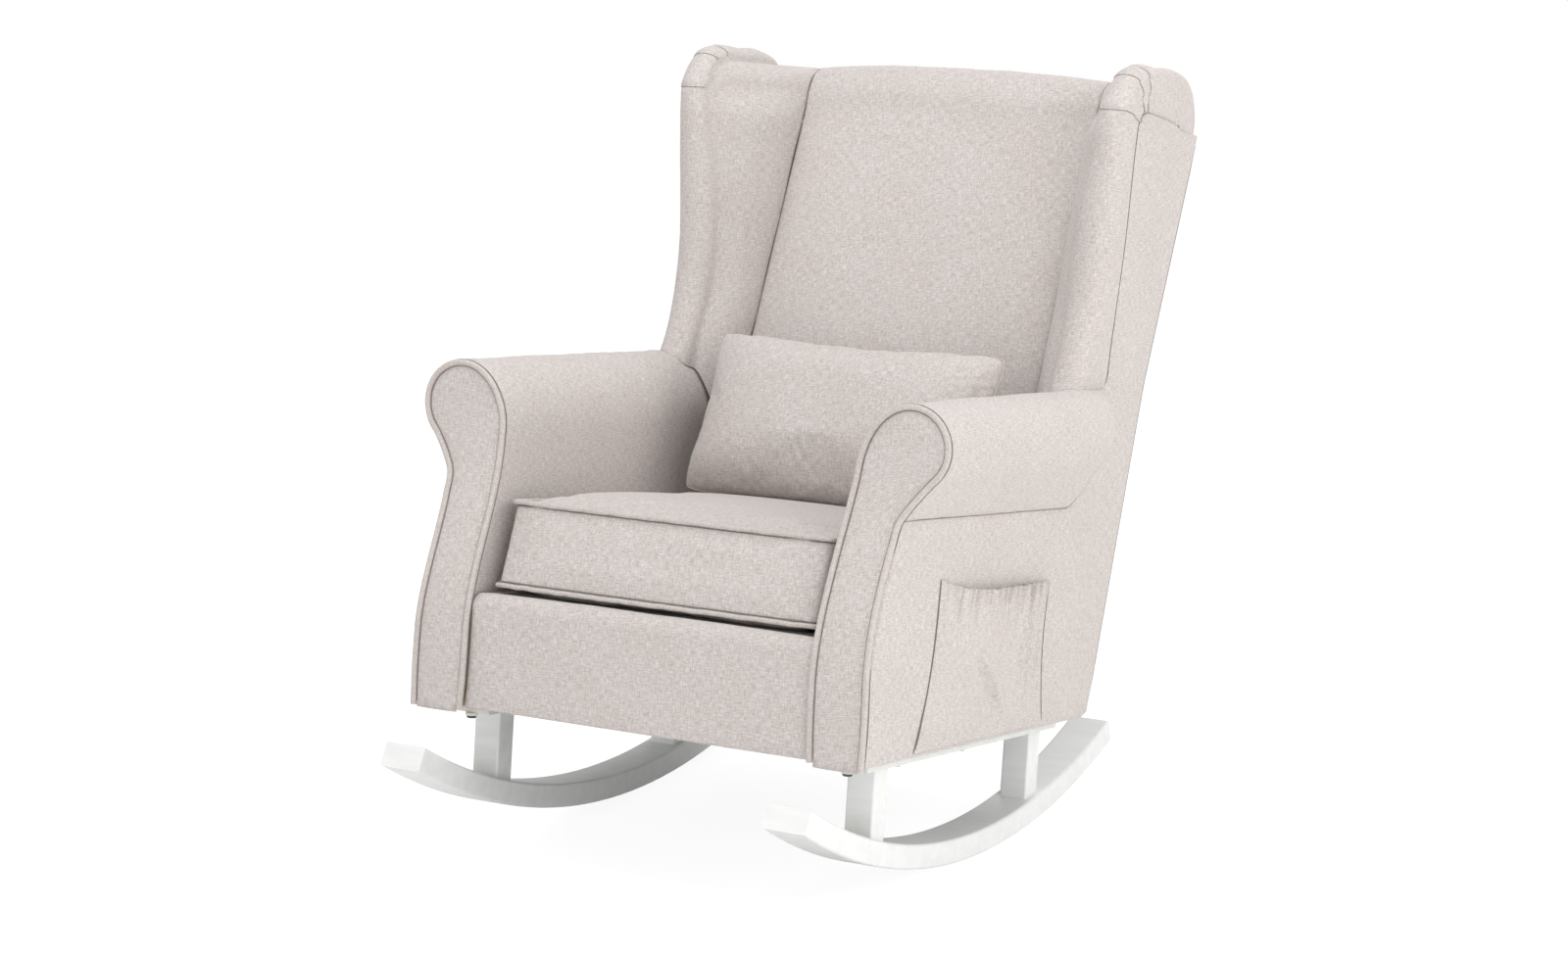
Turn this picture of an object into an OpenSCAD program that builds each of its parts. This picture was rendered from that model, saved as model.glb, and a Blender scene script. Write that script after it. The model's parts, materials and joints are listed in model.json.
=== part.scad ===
// Upholstered wing-back nursing chair on a pair of wooden rockers, in millimetres.
// Sizes are taken with the chair level; the whole chair is then turned about the centre of the
// rockers' arc, so that it leans back the way it stands at rest. +Z is up, -Y is the front,
// and the origin is on the floor under the middle of the leaning chair.

/* [Stance] */
// Angle by which the chair leans back at rest, in degrees
lean = 7.5; // [0:0.5:12]

/* [Rockers] */
// Radius of the rockers' lower edge
rocker_r = 1114; // [1000:2:1300]
// Straight length of a rocker from end to end
rocker_len = 918; // [800:2:1000]
// Height of a rocker board
rocker_t = 32; // [24:1:40]
// Width of a rocker board
rocker_w = 58; // [46:1:70]
// Distance between the middles of the two rockers
rocker_gap = 540; // [500:2:580]
// Rounding of the rockers' long edges
rocker_edge_r = 4; // [2:0.5:8]

/* [Legs] */
// Width of a leg, across the chair
leg_w = 38; // [30:1:46]
// Depth of a leg, front to back
leg_d = 36; // [28:1:44]
// Rounding of the legs' long edges
leg_edge_r = 3; // [1:0.5:6]
// Distance of the front legs ahead of the rockers' middle
front_leg_reach = 244; // [200:2:280]
// Distance of the rear legs behind the rockers' middle
rear_leg_reach = 216; // [180:2:250]

/* [Mounting rails] */
// Width of a mounting rail between the legs and the body
rail_w = 56; // [46:1:66]
// Thickness of a mounting rail
rail_t = 14; // [10:1:20]
// Distance of the rails' front ends ahead of the rockers' middle
rail_front_reach = 303; // [285:1:320]
// Distance of the rails' rear ends behind the rockers' middle
rail_rear_reach = 262; // [250:1:280]

/* [Body] */
// Width of the body across its two side panels
body_w = 644; // [600:2:700]
// Height of the body's underside above the rockers' lowest point
under_z = 160; // [140:1:180]
// Fall of the underside towards the back, in degrees
under_slope = 1.1; // [0:0.1:3]
// Distance of the body's front ahead of the rockers' middle
body_reach = 361; // [340:1:380]
// How far the arm fronts sweep back between their foot and the scroll
front_setback = 75; // [50:1:90]
// Height of the front apron's top edge
apron_top_z = 314; // [300:1:330]
// Thickness of a covered side or back panel
panel_t = 8; // [5:1:12]
// Thickness of the boards in the arms and wings
board_t = 18; // [15:1:22]

/* [Arms] */
// Height of the arms' crest
arm_top_z = 600; // [580:2:620]
// Width between the two arms
seat_w = 490; // [470:2:510]
// Radius of the scroll on the outside of each arm
roll_r = 55; // [48:1:60]
// Height of the roll's inner shoulder
roll_h = 92; // [80:1:100]
// Height of the seam under the outside of the roll
under_arm_z = 461; // [440:1:470]
// Thickness of the covered scroll board on each arm's front
arm_front_t = 12; // [8:1:16]
// Diameter of the piping
piping_d = 8; // [6:0.5:10]

/* [Back] */
// Angle of the back's outside from upright, in degrees
back_rake = 15.3; // [12:0.1:18]
// Angle of the back's padded face from upright, in degrees
pad_rake = 20.4; // [18:0.1:24]
// Distance of the back's foot behind the rockers' middle
back_foot_reach = 309; // [290:1:330]
// Height of the back's top edge
back_top_z = 1010; // [980:2:1020]
// Width of the back's padded face
back_pad_w = 450; // [440:2:460]
// How far the padded face swells in its middle
back_crown = 36; // [16:1:40]
// Depth of the back's wooden frame
back_frame_d = 30; // [24:1:34]

/* [Wings] */
// Height of the wings' top edge
wing_top_z = 1030; // [1020:2:1060]
// Distance of the wings' front edge behind the rockers' middle
wing_front_reach = 246; // [230:1:260]
// How far the wings' foot runs forward onto the arm
wing_foot_run = 44; // [20:1:60]
// Outward splay of the wings, in degrees
wing_splay = 2.6; // [0:0.1:4]
// Thickness of a wing at its foot
wing_t = 51; // [46:1:60]
// Rounding of the wings' front upper corner
wing_corner_r = 85; // [60:1:100]
// Rounding of the rear shoulder
shoulder_r = 80; // [60:1:90]
// Width of the cover strip that wraps the wings' edge
wing_strip = 62; // [50:1:70]
// Width of that strip at the wings' foot, where it reaches behind the arm
wing_foot_strip = 91; // [80:1:96]

/* [Seat cushion] */
// Fall of the seat towards the back, in degrees
seat_rake = 3.5; // [1:0.5:5]
// Width of the cushion between its corners
cushion_w = 474; // [460:2:480]
// Height of the cushion's border between its two welts
cushion_border = 100; // [90:1:110]
// Crown of the cushion's top over its upper welt
cushion_crown = 20; // [8:1:30]
// Depth of the cushion along its middle
cushion_d = 498; // [470:2:500]

/* [Lumbar pillow] */
// Width of the pillow between its corners
pillow_w = 420; // [380:2:440]
// Height of the pillow between its corners
pillow_h = 244; // [210:2:260]
// Thickness of the filled pillow
pillow_t = 144; // [100:2:146]
// Angle at which the pillow leans back, in degrees
pillow_rake = 29; // [24:1:34]

/* [Side pocket] */
// Width of the pocket's mouth
pocket_w = 335; // [280:5:350]
// Height of the pocket's mouth over the body's underside
pocket_h = 206; // [160:2:220]
// Swell of the pocket at its mouth
pocket_swell = 16; // [12:1:22]
// Thickness of the pocket's cloth
pocket_t = 2; // [1:0.5:3]

/* [Hidden] */

// Facets of the true round shapes
round_fn = 96;
// Facets of a full turn of the rockers' long arc
arc_fn = 720;
// Overrun of every cut
over = 2;
// Running gap between a soft piece and its neighbour
fit = 0.3;

// Colours of the finishes
linen = "#d9cec6";
piping_linen = "#c9bdb4";
paint = "#f4f4f2";
raw_wood = "#d8b98a";
steel = "#6c6c70";
dark_cloth = "#3a3a3c";

// Heights and depths that follow from the driving sizes
function ease(t) = let (u = max(0, min(1, t))) u * u * (3 - 2 * u);
function mix(a, b, t) = a + (b - a) * t;
function under(y) = under_z - y * tan(under_slope);
rocker_end = asin(rocker_len / 2 / rocker_r);
half_body = body_w / 2;
half_seat = seat_w / 2;
panel_in = half_body - panel_t;
board_in = panel_in - board_t;

// Front faces: upright at the foot, swept back towards the scroll
sweep_foot_share = 0.23;
sweep_head_share = 0.875;
sweep_foot_z = under_z + (arm_top_z - under_z) * sweep_foot_share;
sweep_head_z = under_z + (arm_top_z - under_z) * sweep_head_share;
function front_y(z) = front_setback * ease((z - sweep_foot_z) / (sweep_head_z - sweep_foot_z))
  - body_reach;
function board_front_y(z) = front_y(z) + arm_front_t;

// Outside of the back, and the line where the back's face meets the wings
back_foot_z = under(back_foot_reach);
function rear_y(z) = back_foot_reach + (z - back_foot_z) * tan(back_rake);
function frame_front_y(z) = rear_y(z) - (panel_t + back_frame_d) / cos(back_rake);
pad_top_gap = 94;
pad_line_top_y = rear_y(back_top_z) - pad_top_gap;
function pad_line_y(z) = pad_line_top_y - (back_top_z - z) * tan(pad_rake);
half_pad = back_pad_w / 2;

// Rounded top of the back: centre, half depth and half height
back_roll_rise = 45;
back_roll_z = back_top_z - back_roll_rise;
function back_roll(a, front, rise) = let (rear = rear_y(panel_top_z), mid = (front + rear) / 2)
  [mid + (rear - mid) * cos(a), back_roll_z + rise * sin(a)];

// Rear shoulder of the wings: an arc that meets the top edge and the leaning rear edge
shoulder_z = wing_top_z - shoulder_r;
shoulder_y = rear_y(shoulder_z) - shoulder_r / cos(back_rake);
panel_top_z = shoulder_z - shoulder_r * sin(back_rake);
corner_y = wing_front_reach + wing_corner_r;
corner_z = wing_top_z - wing_corner_r;

// Middle of the floor under the leaning chair
front_extreme = -rocker_r * sin(rocker_end + lean);
rear_extreme = shoulder_y * cos(lean) + (shoulder_z - rocker_r) * sin(lean) + shoulder_r;
origin_y = (front_extreme + rear_extreme) / 2;

// Places the level chair in its resting lean, about the centre of the rockers' arc
module standing() {
  translate([0, -origin_y, rocker_r]) rotate([-lean, 0, 0]) translate([0, 0, -rocker_r])
    children();
}

module left_hand() {
  mirror([1, 0, 0]) children();
}

// Extrudes a side view, drawn in depth and height, from x0 to x1
module across(x0, x1) {
  translate([x0, 0, 0]) rotate([90, 0, 90]) linear_extrude(x1 - x0) children();
}

// Extrudes a front view, drawn in width and height, from y0 to y1
module lengthways(y0, y1) {
  translate([0, y1, 0]) rotate([90, 0, 0]) linear_extrude(y1 - y0) children();
}

module soft_rect(w, h, r) {
  square([w - 2 * r, h], center = true);
  square([w, h - 2 * r], center = true);
  for (sx = [-1, 1], sy = [-1, 1])
    translate([sx * (w / 2 - r), sy * (h / 2 - r)]) circle(r = r, $fn = round_fn);
}

// A padded skin between two grids of points with the same rows and columns
module skin(outer, inner) {
  rows = len(outer);
  cols = len(outer[0]);
  points = concat([for (r = outer) each r], [for (r = inner) each r]);
  far = rows * cols;
  function quad(a, b, c, d) = [[a, b, c], [a, c, d]];
  faces = concat(
    [for (r = [0 : rows - 2], c = [0 : cols - 2])
      each quad(r * cols + c, (r + 1) * cols + c, (r + 1) * cols + c + 1, r * cols + c + 1)],
    [for (r = [0 : rows - 2], c = [0 : cols - 2])
      each quad(far + r * cols + c, far + r * cols + c + 1, far + (r + 1) * cols + c + 1,
        far + (r + 1) * cols + c)],
    [for (c = [0 : cols - 2]) each quad(c, c + 1, far + c + 1, far + c)],
    [for (c = [0 : cols - 2], r = rows - 1)
      each quad(r * cols + c, far + r * cols + c, far + r * cols + c + 1, r * cols + c + 1)],
    [for (r = [0 : rows - 2])
      each quad(r * cols, far + r * cols, far + (r + 1) * cols, (r + 1) * cols)],
    [for (r = [0 : rows - 2], c = cols - 1)
      each quad(r * cols + c, (r + 1) * cols + c, far + (r + 1) * cols + c, far + r * cols + c)]);
  polyhedron(points, faces);
}

// A round cord along a list of points; up is a direction that the cord never runs along
module cord(path, d, sides, up, closed) {
  count = len(path);
  function at(i) = path[closed ? (i + count) % count : max(0, min(count - 1, i))];
  function unit(v) = v / norm(v);
  rings = [for (i = [0 : count - 1])
    let (t = unit(at(i + 1) - at(i - 1)), n = unit(cross(t, up)), b = cross(n, t))
    [for (k = [0 : sides - 1]) at(i) + d / 2 * (cos(360 * k / sides) * n
      + sin(360 * k / sides) * b)]];
  steps = closed ? count : count - 1;
  faces = concat(
    [for (i = [0 : steps - 1], k = [0 : sides - 1])
      let (a = i * sides, b = ((i + 1) % count) * sides, l = (k + 1) % sides)
      each [[a + k, b + l, b + k], [a + k, a + l, b + l]]],
    closed ? [] : [for (k = [1 : sides - 2]) [0, k + 1, k]],
    closed ? [] : [for (k = [1 : sides - 2], a = (count - 1) * sides) [a, a + k, a + k + 1]]);
  polyhedron([for (r = rings) each r], faces);
}

// How far the arm fronts reach in beside the seat
front_in = 3;

// Seat deck: its top falls straight back from the apron's top edge
deck_t = 26;
front_rail_t = 24;
apron_t = 9;
rail_face_y = board_front_y(apron_top_z - deck_t);
rail_back_y = rail_face_y + front_rail_t;
rear_rail_in = 55;
rear_rail_y = back_foot_reach - rear_rail_in;
function deck_z(y) = apron_top_z - (y + body_reach) * tan(seat_rake);
function deck_under(y) = deck_z(y) - deck_t / cos(seat_rake);

// Local frame of the seat: the deck's top is its floor, depth runs back from the arm fronts
module on_seat() {
  translate([0, -body_reach, apron_top_z]) rotate([-seat_rake, 0, 0]) children();
}

// Turns what stands above the arms outwards, about the foot of the wings' outer face
module splayed() {
  translate([half_body, 0, arm_top_z]) rotate([0, wing_splay, 0])
    translate([-half_body, 0, -arm_top_z]) children();
}

// Keeps the standing shape below the arms' crest and splays it above
module bent(z_low, z_high) {
  reach = body_w * 2;
  intersection() {
    children();
    translate([-reach, -reach, z_low]) cube([2 * reach, 2 * reach, arm_top_z - z_low]);
  }
  splayed() intersection() {
    children();
    translate([-reach, -reach, arm_top_z - over])
      cube([2 * reach, 2 * reach, z_high - arm_top_z + over]);
  }
}

// Rear foot of the body: a quarter turn from the leaning back into the underside
foot_r = 25;
foot_steps = 4;
function rear_foot(r) = let (z = under(back_foot_reach) + foot_r,
    y = rear_y(z) - foot_r / cos(back_rake))
  [for (k = [0 : foot_steps]) let (a = mix(-back_rake, -90, k / foot_steps))
    [y + r * cos(a), z + r * sin(a)]];

/* Rockers, legs and rails under the body */
rocker_x = rocker_gap / 2;
screw_spread = 9;
screw_head_r = 6.5;
screw_head_h = 4;
screw_r = 3;
screw_play = 0.2;
screw_l = 46;
counterbore = 12;
leg_spots = [-front_leg_reach, rear_leg_reach];

function sole_z(y) = rocker_r - sqrt(pow(rocker_r, 2) - pow(y, 2));

module leg_screw_places(spots) {
  for (y = spots, s = [-1, 1])
    translate([rocker_x + s * screw_spread, y, sole_z(y) + counterbore]) children();
}

module rocker() {
  difference() {
    translate([rocker_x, 0, rocker_r]) rotate([0, 90, 0]) rotate([0, 0, -rocker_end])
      rotate_extrude(angle = 2 * rocker_end, $fn = arc_fn)
        translate([rocker_r - rocker_t / 2, 0]) soft_rect(rocker_t, rocker_w, rocker_edge_r);
    leg_screw_places(leg_spots) {
      translate([0, 0, -2 * counterbore])
        cylinder(r = screw_head_r + screw_play, h = 2 * counterbore, $fn = round_fn);
      cylinder(r = screw_r + screw_play, h = rocker_t, $fn = round_fn);
    }
  }
}

module leg(y) {
  reach = rocker_len;
  difference() {
    intersection() {
      translate([rocker_x, y, 0]) linear_extrude(under_z) soft_rect(leg_w, leg_d, leg_edge_r);
      translate([rocker_x - leg_w, 0, rocker_r]) rotate([0, 90, 0])
        cylinder(r = rocker_r - rocker_t, h = 2 * leg_w, $fn = arc_fn);
      across(rocker_x - leg_w, rocker_x + leg_w)
        polygon([[-reach, -over], [reach, -over], [reach, under(reach) - rail_t],
          [-reach, under(-reach) - rail_t]]);
    }
    leg_screw_places([y])
      cylinder(r = screw_r, h = screw_l - screw_head_h, $fn = round_fn);
  }
}

module leg_screw_set() {
  leg_screw_places(leg_spots) {
    translate([0, 0, -screw_head_h]) cylinder(r = screw_head_r, h = screw_head_h, $fn = round_fn);
    translate([0, 0, -over]) cylinder(r = screw_r, h = screw_l - screw_head_h - over,
      $fn = round_fn);
  }
}

bolt_head_r = 7;
bolt_head_h = 4;
bolt_r = 3;
bolt_l = 30;
bolt_side = 14;
bolt_x = rocker_x + bolt_side;
bolt_from_leg = 44;
bolt_front_y = bolt_from_leg - front_leg_reach;
bolt_rear_y = rear_leg_reach - bolt_from_leg;
bolt_spots = [bolt_front_y, (bolt_front_y + bolt_rear_y) / 2, bolt_rear_y];
sole_t = 22;

module bolt_places() {
  for (y = bolt_spots) translate([bolt_x, y, under(y) - rail_t]) rotate([-under_slope, 0, 0])
    children();
}

module mounting_rail() {
  difference() {
    across(rocker_x - rail_w / 2, rocker_x + rail_w / 2)
      polygon([[-rail_front_reach, under(-rail_front_reach) - rail_t],
        [rail_rear_reach, under(rail_rear_reach) - rail_t],
        [rail_rear_reach, under(rail_rear_reach)], [-rail_front_reach, under(-rail_front_reach)]]);
    bolt_places() translate([0, 0, -over])
      cylinder(r = bolt_r + screw_play, h = rail_t + 2 * over, $fn = round_fn);
  }
}

module bolt_set() {
  bolt_places() {
    translate([0, 0, -bolt_head_h]) cylinder(r = bolt_head_r, h = bolt_head_h, $fn = round_fn);
    translate([0, 0, -over]) cylinder(r = bolt_r, h = bolt_l + over, $fn = round_fn);
  }
}

module sole_board() {
  difference() {
    across(rocker_x - rail_w / 2, board_in)
      polygon([[rail_back_y, under(rail_back_y)], [rear_rail_y, under(rear_rail_y)],
        [rear_rail_y, under(rear_rail_y) + sole_t], [rail_back_y, under(rail_back_y) + sole_t]]);
    bolt_places() translate([0, 0, -over]) cylinder(r = bolt_r, h = bolt_l + over, $fn = round_fn);
  }
}

/* Seat frame */
cover_t = 1.2;
side_rail_t = 24;
side_rail_h = 60;
clip_w = 22;
clip_run = 12;
clip_h = 10;
wire_d = 4;
wire_wave = 20;
wire_pitch = 104;
wire_lead = 16;
wire_sides = 5;
spring_count = 4;
spring_spacing = 110;
clip_gap = 1;
function spread(count, step) = [for (k = [0 : count - 1]) (k - (count - 1) / 2) * step];
spring_spots = spread(spring_count, spring_spacing);

module front_seat_rail_body() {
  lengthways(rail_face_y, rail_back_y)
    polygon([[-board_in, under(rail_face_y) + cover_t], [board_in, under(rail_face_y) + cover_t],
      [board_in, deck_under(rail_back_y)], [-board_in, deck_under(rail_back_y)]]);
}

module rear_seat_rail_body() {
  lengthways(rear_rail_y, rear_rail_y + front_rail_t)
    polygon([[-board_in, under(rear_rail_y) + cover_t], [board_in, under(rear_rail_y) + cover_t],
      [board_in, deck_under(rear_rail_y + front_rail_t)],
      [-board_in, deck_under(rear_rail_y + front_rail_t)]]);
}

module side_seat_rail() {
  across(board_in - side_rail_t, board_in)
    polygon([[rail_back_y, deck_under(rail_back_y) - side_rail_h],
      [rear_rail_y, deck_under(rear_rail_y) - side_rail_h],
      [rear_rail_y, deck_under(rear_rail_y)], [rail_back_y, deck_under(rail_back_y)]]);
}

spring_z = -deck_t - clip_h / 2;
spring_front = (rail_back_y + body_reach) / cos(seat_rake) - clip_gap;
spring_rear = (rear_rail_y + body_reach) / cos(seat_rake) - clip_gap;
wire_turns = floor((spring_rear - spring_front - 2 * wire_lead) / wire_pitch);

module spring() {
  run = wire_pitch * wire_turns;
  start = (spring_front + spring_rear - run) / 2;
  steps = 8 * wire_turns;
  path = concat([[0, spring_front + wire_d, spring_z]],
    [for (k = [0 : steps]) [wire_wave * sin(360 * k / 8), start + run * k / steps, spring_z]],
    [[0, spring_rear - wire_d, spring_z]]);
  cord(path, wire_d, wire_sides, [0, 0, 1], false);
}

module seat_spring_set() {
  on_seat() for (x = spring_spots) translate([x, 0, 0]) spring();
}

module clip_set() {
  difference() {
    on_seat() for (x = spring_spots, y = [spring_front - over, spring_rear - clip_run])
      translate([x - clip_w / 2, y, -deck_t - clip_h]) cube([clip_w, clip_run + over, clip_h]);
    for (y = [rail_face_y, rear_rail_y])
      translate([-board_in, y, 0]) cube([2 * board_in, front_rail_t, arm_top_z]);
    on_seat() for (x = spring_spots, y = [spring_front - over, spring_rear - 2 * clip_run])
      translate([x, y, spring_z]) rotate([-90, 0, 0])
        cylinder(d = wire_d + 2 * screw_play, h = 2 * clip_run + over, $fn = round_fn);
  }
}

deck_side = half_seat - front_in - fit;
apron_wrap = 20;

module seat_deck_body() {
  pad_foot_y = rear_rail_y + front_rail_t;
  y0 = rail_face_y + apron_wrap - apron_t;
  across(-deck_side, deck_side)
    polygon([[y0, deck_under(y0)], [pad_foot_y, deck_under(pad_foot_y)],
      [pad_foot_y, deck_z(pad_foot_y)], [y0, deck_z(y0)]]);
}

module dust_cover_body() {
  foot = rear_foot(foot_r - panel_t);
  side = rocker_x - rail_w / 2 - fit;
  rear_y0 = foot[foot_steps][0];
  across(-side, side)
    polygon([[rail_face_y, under(rail_face_y)], [rear_y0, under(rear_y0)],
      [rear_y0, under(rear_y0) + cover_t], [rail_face_y, under(rail_face_y) + cover_t]]);
}

module apron() {
  face = rail_face_y - apron_t;
  r = apron_t * 2;
  steps = 6;
  head = deck_z(rail_face_y);
  across(-deck_side, deck_side)
    polygon(concat([[rail_face_y, under(rail_face_y)], [face, under(face)]],
      [for (k = [0 : steps]) let (a = 180 - 90 * k / steps)
        [face + r + r * cos(a), head - r + r * sin(a)]],
      [[face + apron_wrap, head - apron_wrap * tan(seat_rake)],
        [face + apron_wrap, deck_under(rail_back_y)], [rail_face_y, deck_under(rail_back_y)]]));
}

/* Arms */
arm_lean = 4;
roll_in = 3;
roll_x = half_body - roll_in;
roll_z = arm_top_z - roll_r;
roll_w = roll_x - half_seat - arm_lean;
wall_top_z = arm_top_z - roll_h;
neck_a = -50;
wall_shares = [0, 0.25, 0.55, 0.82];
roll_angles = [180, 162, 144, 126, 108, 90, 70, 50, 30, 10, -10, -30, neck_a];
neck_shares = [[0.56, 0.55], [0.25, 0.21], [0, 0]];

function roll_point(a) = a > 90
  ? [roll_x + roll_w * cos(a), wall_top_z + roll_h * sin(a)]
  : [roll_x + roll_r * cos(a), roll_z + roll_r * sin(a)];
function neck_point(s) = let (p = roll_point(neck_a))
  [mix(half_body, p[0], s[0]), mix(under_arm_z, p[1], s[1])];
function wall_point(s, foot) = [half_seat + arm_lean * s, mix(foot, wall_top_z, s)];
function arm_section(foot) = concat([for (s = wall_shares) wall_point(s, foot)],
  [for (a = roll_angles) roll_point(a)], [for (s = neck_shares) neck_point(s)]);
crest_col = 9;

// Height of the arm's padded top over a place across the chair
wing_rest = 7;
function wing_foot_z(x) = arm_top(x < roll_x ? min(x + wing_rest, roll_x) : x) + 2 * fit;
function arm_top(x) = x < half_seat + arm_lean ? wall_top_z
  : x < roll_x ? wall_top_z + roll_h * sqrt(1 - pow((roll_x - x) / roll_w, 2))
  : roll_z + sqrt(pow(roll_r, 2) - pow(x - roll_x, 2));

// Seam under the roll, seen from the side
seam_sag = 16;
seam_turn_y = 193;
roll_turn_y = 152;
roll_end_y = 290;
seam_lift = 68;
function seam_z(y) = y < seam_turn_y
  ? under_arm_z - seam_sag * max(0, (y + body_reach) / (seam_turn_y + body_reach))
  : under_arm_z - seam_sag + seam_lift * pow((y - seam_turn_y) / (roll_end_y + roll_in
    - seam_turn_y), 1.4);

// S-shaped front faces as drawn from the side
foot_flare = 1;
front_zs_shares = [0, 0.12, 0.23, 0.32, 0.4, 0.48, 0.56, 0.64, 0.72, 0.8, 0.88, 1];
function sweep_line(shift) = [for (s = front_zs_shares)
  let (z = mix(under_z - foot_r, arm_top_z + over, s)) [front_y(z) + shift, z]];
function flipped(list) = [for (k = [len(list) - 1 : -1 : 0]) list[k]];

function arm_front_outline(grow) = let (foot = under_z, section = arm_section(foot),
    waist = half_body - roll_in)
  concat([[half_seat - grow, under(-body_reach)], [half_seat - front_in - grow,
      mix(under_z, wall_top_z, 0.12)], [half_seat - front_in - grow, mix(under_z, wall_top_z, 0.6)]],
    [for (k = [3 : len(section) - 1]) section[k]],
    [[half_body - roll_in / 2, mix(under_z, under_arm_z, 0.85)],
      [waist, mix(under_z, under_arm_z, 0.6)], [half_body, mix(under_z, under_arm_z, 0.35)],
      [half_body + foot_flare, mix(under_z, under_arm_z, 0.15)], [half_body, under(-body_reach)]]);

module arm_front() {
  reach = half_body * 2;
  intersection() {
    lengthways(-body_reach - over, rail_back_y + front_setback)
      polygon(arm_front_outline(0));
    across(0, reach) polygon(concat(sweep_line(0), flipped(sweep_line(arm_front_t))));
  }
}

module arm_piping() {
  outline = arm_front_outline(0);
  inset = piping_d / 2;
  stand_off = piping_d / 2 + 2 * fit;
  last = len(outline) - 1;
  cord_step = piping_d * 4;
  path = concat([for (k = [0 : last - 1]) let (a = outline[k], b = outline[k + 1],
      n = ceil(norm(b - a) / cord_step)) for (j = [0 : n - 1]) mix(a, b, j / n)], [outline[last]]);
  cord([for (p = path) let (c = [half_seat + roll_w / 2,
        min(roll_z, max(under_z + piping_d / 2, p[1]))], v = c - p,
        q = p + v / norm(v) * inset) [q[0], front_y(q[1]) - stand_off, q[1]]],
    piping_d, 6, [0.02, 1, 0.02], false);
}

former_pad = 31;
former_r = roll_r - former_pad;
former_flat = 20;
former_run = 28;
former_end_y = roll_turn_y + former_run;

module arm_board() {
  foot = rear_foot(foot_r - panel_t);
  top = roll_z - former_flat;
  gap = panel_t / cos(back_rake);
  line = [for (p = sweep_line(arm_front_t)) if (p[1] > under_z + foot_r && p[1] < top) p];
  across(board_in, panel_in)
    polygon(concat([[board_front_y(under_z), under(board_front_y(under_z))]], line,
      [[board_front_y(top), top], [rear_y(top) - gap, top]], foot));
}

module roll_former() {
  intersection() {
    translate([roll_x, 0, roll_z]) rotate([90, 0, 0])
      translate([0, 0, -former_end_y]) cylinder(r = former_r, h = former_end_y + body_reach,
        $fn = round_fn);
    across(0, body_w) let (top = arm_top_z, low = roll_z - former_flat)
      polygon(concat([for (p = sweep_line(arm_front_t)) if (p[1] > low && p[1] < top) p],
        [[board_front_y(top), top], [former_end_y + over, top], [former_end_y + over, low],
          [board_front_y(low), low]]));
  }
}

// Padding of an arm: rows from front to rear, columns from the seat over the roll
arm_row_shares = [0, 0.1, 0.28, 0.5, 0.75, 1];
end_angles = [18, 36, 52, 66, 78, 90];
crest_in = 2;
crest_core_in = 8;
arm_rear_gap = 4;
former_angles = [200, 160, 125, 90, 65, 40, 12, -20, -56];
former_step = 40;
former_clear = (former_r + 2 * fit) / cos(former_step / 2);
core_drop = 2;
core_neck_drop = 8;
core_taper_share = 0.2;
core_end_share = 0.1;
core_neck_shares = [0.7, 0.35];

function arm_under(a) = [roll_x + former_clear * cos(a), roll_z + former_clear * sin(a)];
function arm_core(foot) = let (xi = board_in - fit, xo = panel_in + fit, low = roll_z - former_flat)
  concat([for (s = wall_shares) [xi, mix(foot, wall_top_z, s)]], [[xi, wall_top_z]],
    [[xi, low]], [for (a = former_angles) arm_under(a)],
    [[xo, low - core_drop], [xo, wall_top_z - core_neck_drop]],
    [for (s = core_neck_shares) [xo, mix(under_arm_z, wall_top_z, s)]], [[xo, under_arm_z]]);

function lowered(z, y) = z < roll_z
  ? roll_z - (roll_z - z) * (roll_z - seam_z(y)) / (roll_z - under_arm_z) : z;
function bulge(p, k, wall) = [p[0] > wall ? wall + (p[0] - wall) * k : p[0], p[1]];

function arm_rows(core) = let (
    place = function (p, y, k, c) let (q = bulge(p, k, core ? panel_in + fit : half_body))
      [q[0], y, c > crest_col ? lowered(q[1], y) : q[1]],
    grid = function (foot) core ? arm_core(foot) : arm_section(foot))
  concat(
    [for (s = arm_row_shares) let (foot = deck_z(mix(rail_face_y, roll_turn_y, s)) - deck_t / 3,
        g = grid(foot))
      [for (c = [0 : len(g) - 1]) let (y = mix(board_front_y(g[c][1]) + 2 * fit, roll_turn_y, s))
        place(g[c], y, 1, c)]],
    [for (a = end_angles) let (y = mix(roll_turn_y, roll_end_y, sin(a)),
        g = grid(deck_z(y) - deck_t / 3))
      [for (c = [0 : len(g) - 1]) place(g[c], y, max(cos(a), core ? core_taper_share : 0), c)]],
    [let (g = grid(deck_z(roll_end_y) - deck_t / 3), t = roll_end_y + roll_in / 2)
      [for (c = [0 : len(g) - 1]) let (q = place(g[c], t, core ? core_end_share : 0, c))
        c < crest_col - (core ? 1 : 0) ? [q[0], frame_front_y(q[2]) - arm_rear_gap, q[2]]
          : [c == crest_col ? panel_in - (core ? crest_core_in : crest_in) : q[0], t, q[2]]]]);

module arm_pad() {
  skin(arm_rows(false), arm_rows(true));
}

/* Wing and back frame */
board_inset = 26;
post_w = 34;
post_foot_z = 200;
head_drop = 42;
rail_head_z = back_roll_z - head_drop;
top_rail_h = 48;
lower_rail_z = 300;
lower_rail_h = 60;
web_w = 50;
web_t = 1.6;
web_count = 5;
web_spacing = 100;
web_spots = spread(web_count, web_spacing);
wing_foot_rise = 170;
panel_gap = panel_t / cos(back_rake);

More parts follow.
